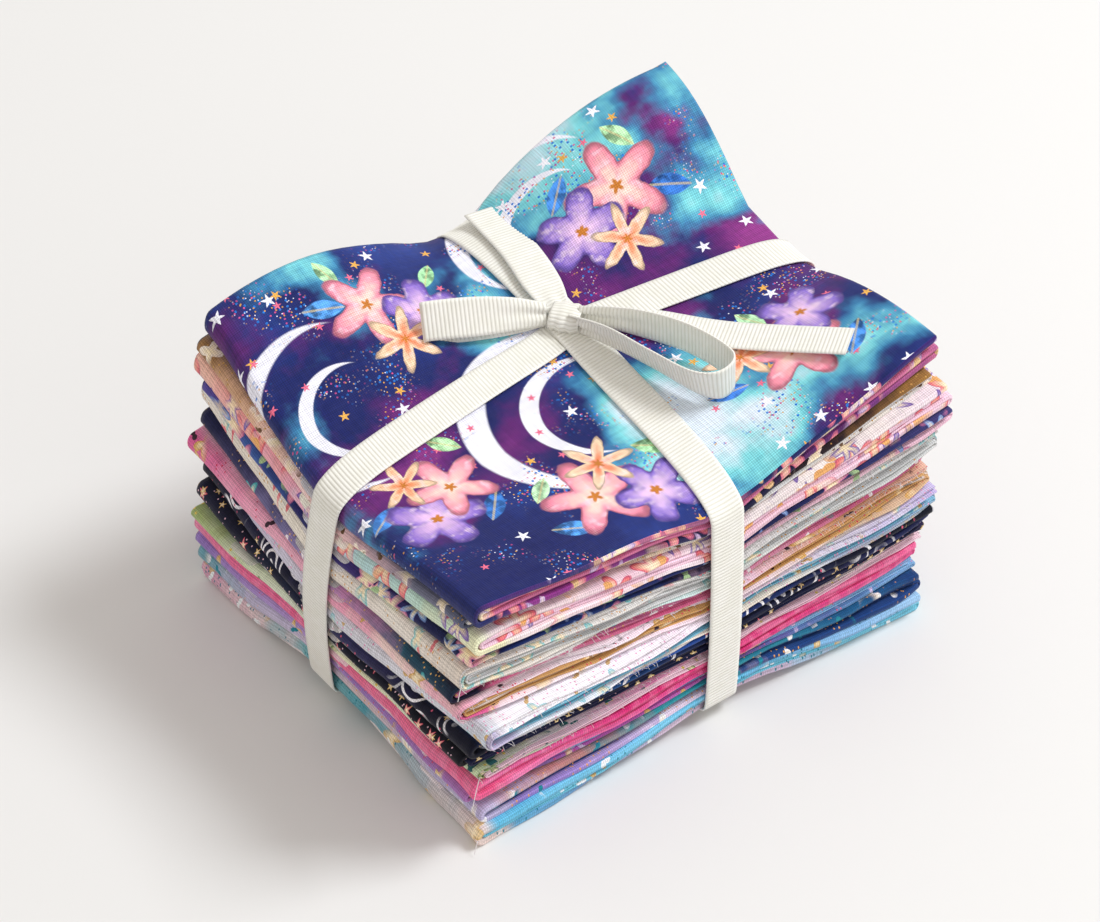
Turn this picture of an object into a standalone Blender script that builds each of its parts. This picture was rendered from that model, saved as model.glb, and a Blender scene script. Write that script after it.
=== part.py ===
# A bundle of folded fat quarters, tied crosswise with ribbon and finished with a bow.
# The stack is laid out in millimetres from its front corner: x along its front side,
# y along its left side, z up. The whole bundle is then moved to the middle of its footprint.

import bisect
import math

import bpy
from mathutils import Vector

for old in list(bpy.data.objects):
    bpy.data.objects.remove(old, do_unlink=True)

mm = 0.001

# Driving sizes: a quarter of each cut side, with the slack of the folding
cut_length = 560.0
cut_width = 500.0
stack_x = cut_length / 4 + 3.0
stack_y = cut_width / 4 - 3.0
pieces = 15
pitch = 6.0
pass_thick = 1.1
pass_gap = 0.3
ribbon_width = 10.0
ribbon_thick = 1.0
clear = 0.4
bundle_centre = Vector((71.2, 60.0, 0.0))

# Lines across the stack where its surfaces bend. The ribbons press between the middle pairs.
bend_x = [0.0, 40.0, 70.0, 88.0, 112.0, stack_x]
bend_y = [0.0, 26.0, 44.0, 76.0, 98.0, stack_y]
press_x = (70.0, 88.0)
press_y = (44.0, 76.0)

# Height of the stack at its four corners, how far the ribbon sinks its top between them,
# and how far it lifts the underside
corner_height = {"front": 80.0, "left": 91.0, "right": 97.0, "back": 99.5}
sink_short = {"front": 14.0, "middle": 13.0, "back": 15.0}
sink_long = {"left": 8.0, "middle": 13.0, "right": 11.5}
lift_short = {"front": 3.9, "middle": 3.2, "back": 3.9}
lift_long = {"left": 5.1, "middle": 3.2, "right": 4.3}
raised_corner = 6.0

# Where the ribbon draws the four sides in to one line
waist = {"left": 0.5, "right": stack_x - 0.9, "front": 0.5, "back": stack_y - 0.5}

# One row for each fat quarter, from the top: how far each corner is from its place in a
# square stack, and the colour that shows most
columns = ("front", "left", "right", "back", "colour")
fat_quarters = [
    ((1.5, 4.3), (3.9, -2.1), (0.0, 0.0), (2.6, -3.4), (0.07, 0.07, 0.24)),
    ((2.4, 6.0), (2.1, -0.7), (-1.7, -0.9), (-0.9, 0.0), (0.62, 0.50, 0.45)),
    ((1.9, 6.8), (1.7, 1.2), (2.6, -3.4), (0.9, 0.9), (0.86, 0.60, 0.60)),
    ((2.2, 5.1), (2.2, -2.0), (0.0, -3.4), (-0.9, -0.9), (0.08, 0.10, 0.26)),
    ((-1.4, 2.7), (3.2, 1.0), (-1.7, -4.3), (0.0, 1.3), (0.84, 0.82, 0.78)),
    ((-2.1, 4.8), (1.6, -0.3), (-3.4, -1.7), (0.9, -0.9), (0.12, 0.11, 0.25)),
    ((-2.0, 3.6), (-2.6, -0.5), (-0.9, -1.7), (-1.3, 0.4), (0.85, 0.52, 0.62)),
    ((2.6, -2.2), (0.8, -0.3), (0.9, -1.7), (0.4, -0.4), (0.78, 0.77, 0.84)),
    ((-1.0, 1.5), (1.4, 1.2), (1.7, -2.6), (-0.4, 0.9), (0.05, 0.05, 0.14)),
    ((-2.0, 2.4), (-1.5, -0.3), (0.0, -2.6), (0.9, -1.3), (0.05, 0.05, 0.13)),
    ((2.4, 2.2), (-3.6, -0.9), (-0.9, -0.9), (0.0, 0.4), (0.66, 0.76, 0.62)),
    ((0.5, 1.9), (-2.2, 0.9), (-1.7, -0.9), (-0.9, 0.9), (0.85, 0.24, 0.48)),
    ((1.7, 3.9), (-1.1, 2.1), (-2.6, -3.4), (0.9, 0.4), (0.47, 0.40, 0.68)),
    ((2.9, 3.2), (-0.6, 2.2), (-1.7, -4.3), (-0.4, -0.4), (0.62, 0.60, 0.76)),
    ((0.3, -0.3), (-0.5, 1.6), (-2.6, -1.7), (0.0, 0.0), (0.55, 0.75, 0.82)),
]
ribbon_colour = (0.87, 0.86, 0.82)


def mix(a, b, share):
    return a + (b - a) * share


def share_between(low, value, high):
    return min(1.0, max(0.0, (value - low) / (high - low)))


def press_share(value, press, length):
    """1 under the ribbon, falling evenly to 0 at both ends of the side."""
    if value < press[0]:
        return share_between(0.0, value, press[0])
    return share_between(length, value, press[1])


def along(names, table, share):
    """The table's value at a share of the way from its first name to its last."""
    first, middle, last = (table[name] for name in names)
    if share < 0.5:
        return mix(first, middle, share * 2)
    return mix(middle, last, share * 2 - 1)


def bent_top(x, y):
    """Height of the stack's top on a pair of bend lines."""
    across, back = x / stack_x, y / stack_y
    front_side = mix(corner_height["front"], corner_height["right"], across)
    back_side = mix(corner_height["left"], corner_height["back"], across)
    short = press_share(x, press_x, stack_x)
    long = press_share(y, press_y, stack_y)
    sink_a = along(("front", "middle", "back"), sink_short, back)
    sink_b = along(("left", "middle", "right"), sink_long, across)
    sink = (sink_a * short + sink_b * long) / max(short + long, 0.01)
    return mix(front_side, back_side, back) - sink * (1 - (1 - short) * (1 - long))


def bent_bottom(x, y):
    """Height of the stack's underside: 0 on four pads, lifted along the ribbons."""
    short = 1.0 if press_x[0] <= x <= press_x[1] else 0.0
    long = 1.0 if press_y[0] <= y <= press_y[1] else 0.0
    lift_a = along(("front", "middle", "back"), lift_short, y / stack_y)
    lift_b = along(("left", "middle", "right"), lift_long, x / stack_x)
    return max(short * lift_a, long * lift_b)


def cell(lines, value):
    """Index of the bend line below a value, and the share of the way to the next."""
    index = min(max(bisect.bisect_right(lines, value) - 1, 0), len(lines) - 2)
    return index, (value - lines[index]) / (lines[index + 1] - lines[index])


def between_bends(surface, x, y):
    column, across = cell(bend_x, x)
    row, back = cell(bend_y, y)
    corners = [
        [surface(bend_x[column + i], bend_y[row + j]) for i in (0, 1)] for j in (0, 1)
    ]
    return mix(mix(*corners[0], across), mix(*corners[1], across), back)


def top(x, y):
    return between_bends(bent_top, x, y)


def underside(x, y):
    return between_bends(bent_bottom, x, y)


def height(x, y, level):
    """Height of a level, which runs from 0 under the stack to pieces * pitch on top."""
    return mix(underside(x, y), top(x, y), level / (pieces * pitch))


def side_line(start, end, waist_at, position, press, length):
    """Where a side is: from one corner's place to the other's, drawn in at the ribbon."""
    if position < press[0]:
        return mix(start, waist_at, share_between(0.0, position, press[0]))
    return mix(waist_at, end, share_between(press[1], position, length))


def arc(centre, radius, start, turn, steps):
    """Points and outward normals of a fold, between its ends."""
    fold = []
    for step in range(steps + 1):
        angle = start + turn * step / steps
        normal = (math.cos(angle), math.sin(angle))
        fold.append((centre[0] + radius * normal[0], centre[1] + radius * normal[1], normal))
    return fold


def folded_section():
    """One fat quarter's four passes: folded in half, then in half again. Each point is
    (side, distance from that side, level, normal); side None is a bend line. The route
    starts at the upper loose end and finishes at the lower one, inside the outer fold."""
    half = pass_thick / 2
    step = pass_thick + pass_gap
    outer_low, inner_low, inner_high, outer_high = (half + index * step for index in range(4))
    inner_lines = bend_x[1:-1]
    wide = (outer_high - outer_low) / 2
    fold_centre = wide + half

    section = [("right", 1.6, outer_high, (0, 1))]
    section += [(None, x, outer_high, (0, 1)) for x in reversed(inner_lines)]
    for x, level, normal in arc((0, outer_low + wide), wide, math.pi / 2, math.pi, 3):
        section.append(("left", fold_centre + x, level, normal))
    section += [(None, x, outer_low, (0, -1)) for x in inner_lines]
    section += [("right", half, outer_low, (1, -1)), ("right", half, inner_low, (1, 1))]
    section += [(None, x, inner_low, (0, 1)) for x in reversed(inner_lines)]
    inside = fold_centre - step / 2
    section += [("left", inside, inner_low, (1, 1)), ("left", inside, inner_high, (1, -1))]
    section += [(None, x, inner_high, (0, -1)) for x in inner_lines]
    section.append(("right", 2.6, inner_high, (0, -1)))
    return section


def closed_outline(section):
    """The section's two faces as one ring of points."""
    outer, inner = [], []
    for side, distance, level, normal in section:
        inward = -normal[0] if side == "right" else normal[0]
        for face, sign in ((outer, 1), (inner, -1)):
            shift = sign * pass_thick / 2
            face.append((side, distance + shift * inward, level + shift * normal[1]))
    return outer + inner[::-1]


def colour_material(name, colour, roughness):
    material = bpy.data.materials.new(name)
    material.use_nodes = True
    shader = material.node_tree.nodes["Principled BSDF"]
    shader.inputs["Base Color"].default_value = (*colour, 1.0)
    shader.inputs["Roughness"].default_value = roughness
    return material


def mesh_object(name, points, faces, material):
    mesh = bpy.data.meshes.new(name)
    mesh.from_pydata([(Vector(point) - bundle_centre) * mm for point in points], [], faces)
    mesh.materials.append(material)
    solid = bpy.data.objects.new(name, mesh)
    bpy.context.scene.collection.objects.link(solid)
    return solid


def split_quad(points, quad):
    """Two triangles, split from the corner nearest the stack's front to the farthest."""
    reach = [points[index][0] + points[index][1] for index in quad]
    if reach.index(min(reach)) % 2 == 0:
        return [(quad[0], quad[1], quad[2]), (quad[0], quad[2], quad[3])]
    return [(quad[1], quad[2], quad[3]), (quad[1], quad[3], quad[0])]


def strip_ends(count):
    """Triangles across a folded outline: each joins the two faces of the cloth."""
    ends = []
    for index in range(count // 2 - 1):
        far = count - 1 - index
        ends += [(index, index + 1, far), (index + 1, far - 1, far)]
    return ends


def fat_quarter(number, row):
    corners = dict(zip(columns, row))
    base_level = (number - 1) * pitch
    on_top = number == pieces
    section = folded_section()
    outline = closed_outline(section)

    def place(side, distance, level, bend_row):
        y = bend_y[bend_row]
        if side is None:
            x = distance
        else:
            front, back = ("front", "left") if side == "left" else ("right", "back")
            square = 0.0 if side == "left" else stack_x
            line = side_line(
                square + corners[front][0],
                square + corners[back][0],
                waist[side],
                y,
                press_y,
                stack_y,
            )
            x = line + distance if side == "left" else line - distance
        if bend_row in (0, len(bend_y) - 1):
            side_name = "front" if bend_row == 0 else "back"
            start, end = ("front", "right") if bend_row == 0 else ("left", "back")
            y = side_line(
                y + corners[start][1],
                y + corners[end][1],
                waist[side_name],
                x,
                press_x,
                stack_x,
            )
        z = height(x, y, base_level + level)
        if on_top:
            corner_x = share_between(press_x[1], x, stack_x)
            corner_y = share_between(press_y[1], y, stack_y)
            z += raised_corner * corner_x * corner_y
        return (x, y, z)

    points = []
    for bend_row in range(len(bend_y)):
        points += [place(*spot, bend_row) for spot in outline]
    count = len(outline)
    faces = []
    for bend_row in range(len(bend_y) - 1):
        near, far = bend_row * count, (bend_row + 1) * count
        for index in range(count):
            after = (index + 1) % count
            quad = (near + index, far + index, far + after, near + after)
            faces += split_quad(points, quad)
    last = (len(bend_y) - 1) * count
    faces += strip_ends(count)
    faces += [tuple(last + index for index in reversed(face)) for face in strip_ends(count)]
    name = f"fat_quarter_{number:02d}"
    mesh_object(name, points, faces, colour_material(name, corners["colour"], 0.85))


def swept_strip(name, route, material, closed=False):
    """A ribbon along a route of (centre, width as a vector of 1, face normal)."""
    points, faces = [], []
    for centre, across, normal in route:
        half_wide = across * ribbon_width / 2
        half_thick = normal.normalized() * ribbon_thick / 2
        for wide, thick in ((-1, -1), (1, -1), (1, 1), (-1, 1)):
            points.append(centre + half_wide * wide + half_thick * thick)
    steps = len(route) if closed else len(route) - 1
    for step in range(steps):
        near, far = 4 * step, 4 * ((step + 1) % len(route))
        for index in range(4):
            after = (index + 1) % 4
            faces.append((near + index, near + after, far + after, far + index))
    if not closed:
        last = 4 * (len(route) - 1)
        faces += [(3, 2, 1, 0), (last, last + 1, last + 2, last + 3)]
    return mesh_object(name, points, faces, material)


def side_normals(centres, across):
    """Normals that point off the stack, at right angles to the route and the width."""
    normals = []
    for index, centre in enumerate(centres):
        before = centres[index - 1]
        after = centres[(index + 1) % len(centres)]
        normals.append((after - before).cross(across[index]))
    return normals


def wrap(name, long_way, middle_line, top_gap, bottom_gap, material):
    """A ring of ribbon round the stack. long_way runs along x, otherwise along y."""
    length = stack_x if long_way else stack_y
    near_side, far_side = ("left", "right") if long_way else ("front", "back")
    bends = (bend_x if long_way else bend_y)[1:-1]
    near, far = waist[near_side], waist[far_side]
    off = clear + ribbon_thick / 2
    sharp = -0.35
    soft = 1.0 if long_way else sharp

    def edge(position, surface, side):
        beside = middle_line(min(max(position, 0.0), length), surface is top)
        beside += side * ribbon_width / 2
        x, y = (position, beside) if long_way else (beside, position)
        return Vector((x, y, surface(x, y)))

    def spot(position, surface, shift, outward=0.0):
        low, high = (edge(position, surface, side) for side in (-1, 1))
        across = (high - low if long_way else low - high).normalized()
        centre = (low + high) / 2 + Vector((0, 0, shift))
        centre[0 if long_way else 1] += outward
        return centre, across

    under, over = -off - bottom_gap, off + top_gap
    stations = [spot(near, underside, soft, -off), spot(near + soft, underside, under)]
    stations += [spot(bend, underside, under) for bend in bends]
    stations += [spot(far - sharp, underside, under), spot(far, underside, sharp, off)]
    stations += [spot(far, top, -sharp, off), spot(far - sharp, top, over)]
    stations += [spot(bend, top, over) for bend in reversed(bends)]
    stations += [spot(near + soft, top, over), spot(near, top, -soft, -off)]
    centres, across = zip(*stations)
    normals = side_normals(centres, across)
    return swept_strip(name, list(zip(centres, across, normals)), material, closed=True)


def long_middle(x, above):
    """Where the long wrap's middle is, across the stack."""
    if not above:
        return mix(66.0, 51.5, x / stack_x)
    if x < knot_place[0]:
        return mix(60.0, 69.0, x / knot_place[0])
    return mix(69.0, 51.0, share_between(knot_place[0], x, stack_x))


def short_middle(y, above):
    """Where the short wrap's middle is, along the stack."""
    if not above:
        return mix(76.0, 81.0, y / stack_y)
    if y < knot_place[1]:
        return mix(76.0, 80.5, y / knot_place[1])
    return mix(80.5, 82.5, share_between(knot_place[1], y, stack_y))


def lying(stations):
    """Stations whose third number is a height over the stack, with that number made z."""
    return [(x, y, top(x, y) + over, lean, share) for x, y, over, lean, share in stations]


def bow_piece(name, stations, material):
    """A loop or a tail. Each station is (x, y, z, lean, width share): lean is how far the
    ribbon's width is turned up from level, in degrees."""
    centres = [Vector(station[:3]) for station in stations]
    farthest = max(centres, key=lambda centre: (centre - centres[0]).length)
    heading = farthest - centres[0]
    level_across = Vector((-heading.y, heading.x, 0)).normalized()
    route = []
    for index, centre in enumerate(centres):
        before = centres[max(index - 1, 0)]
        after = centres[min(index + 1, len(centres) - 1)]
        lean, share = math.radians(stations[index][3]), stations[index][4]
        across = level_across * math.cos(lean) + Vector((0, 0, 1)) * math.sin(lean)
        route.append((centre, across * share, (after - before).cross(across)))
    return swept_strip(name, route, material)


knot_place = (80.5, 70.2)
knot_size = (9.0, 8.4, 5.4)


def knot(material):
    """The bow's knot: a soft block drawn in where the ribbon crosses it."""
    base = top(*knot_place) + 2 * (ribbon_thick + clear) + clear
    levels = ((0.0, 0.72), (0.25, 1.0), (0.7, 1.0), (1.0, 0.62))
    sides = 12
    points, faces = [], []
    for share, spread in levels:
        for side in range(sides):
            angle = 2 * math.pi * (side + 0.5) / sides
            points.append(
                (
                    knot_place[0] + knot_size[0] / 2 * spread * math.cos(angle),
                    knot_place[1] + knot_size[1] / 2 * spread * math.sin(angle),
                    base + knot_size[2] * share,
                )
            )
    for ring in range(len(levels) - 1):
        for side in range(sides):
            after = (side + 1) % sides
            low, high = ring * sides, (ring + 1) * sides
            faces.append((low + side, low + after, high + after, high + side))
    faces.append(tuple(range(sides))[::-1])
    faces.append(tuple((len(levels) - 1) * sides + side for side in range(sides)))
    mesh_object("ribbon_knot", points, faces, material)


for index, row in enumerate(fat_quarters):
    fat_quarter(pieces - index, row)

ribbon = colour_material("ribbon", ribbon_colour, 0.6)
wrap("ribbon_wrap_long", True, long_middle, 0.0, 0.0, ribbon)
wrap("ribbon_wrap_short", False, short_middle, ribbon_thick + clear, ribbon_thick + clear, ribbon)
knot(ribbon)

# Both loops stand partly on edge; the tails lie along the stack
loop_left = [
    (75.2, 73.6, 85.2, 120, 0.6),
    (69.0, 77.4, 86.0, 127, 0.9),
    (60.5, 82.8, 86.3, 133, 1.0),
    (51.6, 88.8, 86.2, 133, 1.0),
    (50.9, 90.2, 85.2, 133, 1.0),
    (52.8, 90.3, 84.2, 133, 1.0),
    (62.0, 84.6, 84.0, 133, 1.0),
    (70.4, 79.4, 83.8, 127, 0.9),
    (75.6, 75.6, 83.6, 120, 0.6),
]
loop_right = [
    (80.3, 65.0, 87.0, 92, 0.55),
    (83.3, 54.5, 88.2, 98, 0.9),
    (85.7, 41.5, 88.4, 100, 1.0),
    (88.6, 28.5, 88.0, 98, 1.0),
    (92.7, 24.3, 88.0, 90, 1.0),
    (98.0, 27.0, 88.6, 80, 1.0),
    (94.6, 40.0, 89.4, 78, 1.0),
    (89.4, 53.0, 89.4, 82, 0.9),
    (83.2, 65.2, 87.6, 90, 0.55),
]
tail_back = lying(
    [
        (81.6, 75.6, 4.2, 0, 0.6),
        (83.4, 84.0, 3.8, 0, 1.0),
        (86.0, 98.0, 3.9, 0, 1.0),
        (88.6, 117.0, 4.4, 0, 1.0),
    ]
)
tail_right = lying(
    [
        (85.8, 68.0, 3.8, 0, 0.5),
        (95.0, 58.6, 2.4, 0, 0.9),
        (108.0, 40.0, 2.2, 0, 1.0),
        (125.0, 13.7, 2.2, 0, 1.0),
    ]
)
for part_name, stations in (
    ("ribbon_loop_left", loop_left),
    ("ribbon_loop_right", loop_right),
    ("ribbon_tail_back", tail_back),
    ("ribbon_tail_right", tail_right),
):
    bow_piece(part_name, stations, ribbon)
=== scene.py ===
import math

import bpy
import numpy as np
from mathutils import Matrix, Vector


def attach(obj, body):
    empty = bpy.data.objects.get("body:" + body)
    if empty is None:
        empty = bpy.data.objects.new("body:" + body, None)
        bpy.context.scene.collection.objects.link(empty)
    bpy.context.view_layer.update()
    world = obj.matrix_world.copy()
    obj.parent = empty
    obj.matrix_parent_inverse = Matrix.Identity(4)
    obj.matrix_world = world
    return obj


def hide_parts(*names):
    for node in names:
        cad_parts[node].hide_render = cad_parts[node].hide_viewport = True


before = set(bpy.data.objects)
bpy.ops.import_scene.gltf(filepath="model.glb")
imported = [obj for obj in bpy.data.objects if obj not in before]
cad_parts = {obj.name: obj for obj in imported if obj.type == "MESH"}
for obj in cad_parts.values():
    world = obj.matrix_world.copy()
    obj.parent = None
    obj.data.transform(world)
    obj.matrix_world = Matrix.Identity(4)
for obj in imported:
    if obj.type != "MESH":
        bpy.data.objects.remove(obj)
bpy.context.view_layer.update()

stack = {
    "length": 143.0,
    "depth": 122.0,
    "middle": (71.2, 60.0),
    "cornerHeight": {"front": 80.0, "left": 91.0, "right": 97.0, "back": 99.5},
    "pressX": (70.0, 88.0),
    "pressMiddle": 78.0,
    "pressY": (44.0, 76.0),
    "sinkShort": (14.0, 13.0, 15.0),  # how deep the short wrap presses: front, middle, back
    "sinkLong": (8.0, 13.0, 8.9),  # the long wrap: left, middle, right
    "liftShort": (3.9, 3.0, 3.9),
    "liftLong": (5.1, 3.0, 4.3),
    "raisedCorner": 8.0,
    "sideBulge": 3.2,
    "airInside": 0.75,
    "swell": {"backLeft": 6.0, "backRight": 2.5, "rightBack": 5.5, "rightFront": 2.5},
    "pinch": 5.0,
    "pinchReach": 6.0,
}
cloth = {
    "flat": (0.50, 0.56),
    "thick": 0.25,
    "plyPitch": 0.26,
    "passPitch": 1.2,
    "threadPitch": 0.58,
}
millimetre = 0.001


def toFrame(points):
    moved = np.asarray(points, float) - (stack["middle"][0], stack["middle"][1], 0.0)
    return moved * millimetre


def linear(red, green, blue):
    # a colour given as it shows on a screen, from 0 to 255, made linear
    return tuple((value / 255) ** 2.2 for value in (red, green, blue)) + (1.0,)


def pressShare(value, press, length):
    # 1 under the ribbon, falling to 0 at both ends of the side
    share = np.clip(np.minimum(value / press[0], (length - value) / (length - press[1])), 0, 1)
    return 0.6 * share + 0.4 * share * share * (3 - 2 * share)


def threeWay(values, share):
    return np.interp(share, (0.0, 0.5, 1.0), values)


def topHeight(x, y):
    corner = stack["cornerHeight"]
    across, back = x / stack["length"], y / stack["depth"]
    frontSide = corner["front"] + (corner["right"] - corner["front"]) * across
    backSide = corner["left"] + (corner["back"] - corner["left"]) * across
    short = pressShare(x, stack["pressX"], stack["length"]) ** (1 + 0.7 * np.clip(back, 0, 1))
    long = pressShare(y, stack["pressY"], stack["depth"])
    sinkShort, sinkLong = threeWay(stack["sinkShort"], back), threeWay(stack["sinkLong"], across)
    sink = (sinkShort * short + sinkLong * long) / np.maximum(short + long, 0.01)
    frontSide = frontSide - edgePinch(x, y)
    backSide = backSide - edgePinch(x, y)
    pressed = sink * (1 - (1 - short) * (1 - long))
    return frontSide + (backSide - frontSide) * back - pressed + swelling(x, y)


def swelling(x, y):
    # between the ribbons the plies stand fuller along the back and right sides
    across, back = x / stack["length"], y / stack["depth"]
    total = 0.0
    for value, towards, low, high, height in (
        (x, back, 0.0, 72.0, stack["swell"]["backLeft"]),
        (x, back, 86.0, stack["length"], stack["swell"]["backRight"]),
        (y, across, 72.0, stack["depth"], stack["swell"]["rightBack"]),
        (y, across, 0.0, 46.0, stack["swell"]["rightFront"]),
    ):
        share = np.clip((value - low) / (high - low), 0, 1)
        outer = np.clip((towards - 0.35) / 0.65, 0, 1)
        total = total + height * np.sin(math.pi * share) * outer * outer * (3 - 2 * outer)
    return total


def edgePinch(x, y):
    # under the ribbon the stack's edges are rounded off
    total = 0.0
    for inward, beside, middle in (
        (y, x, 78.0),
        (stack["depth"] - y, x, 81.0),
        (x, y, 60.0),
        (stack["length"] - x, y, 53.0),
    ):
        near = np.exp(-np.clip(inward, 0, None) / stack["pinchReach"])
        total = total + near * np.exp(-(((beside - middle) / 13.0) ** 2))
    return stack["pinch"] * total


def underHeight(x, y):
    def near(value, press, reach):
        outside = np.maximum(np.maximum(press[0] - value, value - press[1]), 0) / reach
        share = np.clip(1 - outside, 0, 1)
        return share * share * (3 - 2 * share)

    short = near(x, stack["pressX"], 32.0)
    long = near(y, stack["pressY"], 26.0)
    liftShort = threeWay(stack["liftShort"], y / stack["depth"]) * short
    liftLong = threeWay(stack["liftLong"], x / stack["length"]) * long
    return np.maximum(liftShort, liftLong)


def pieceThickness(x, y):
    # where the ribbon presses, the plies are flat; at the corners they hold air
    return 4.5 + 0.037 * (topHeight(x, y) - underHeight(x, y) - 70)


# share: thickness against the others. front, left, right, back: how far each corner is from
# its place in a square stack. edge: what the front shows, soft folds or cut plies.
# step: how far the two outer folds stand back. The colours run along the left fold from the
# left corner to the front one, and along the front folds: upper, then lower, both from the
# front corner to the right one. motif: what is printed on it, with its colours.

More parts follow.
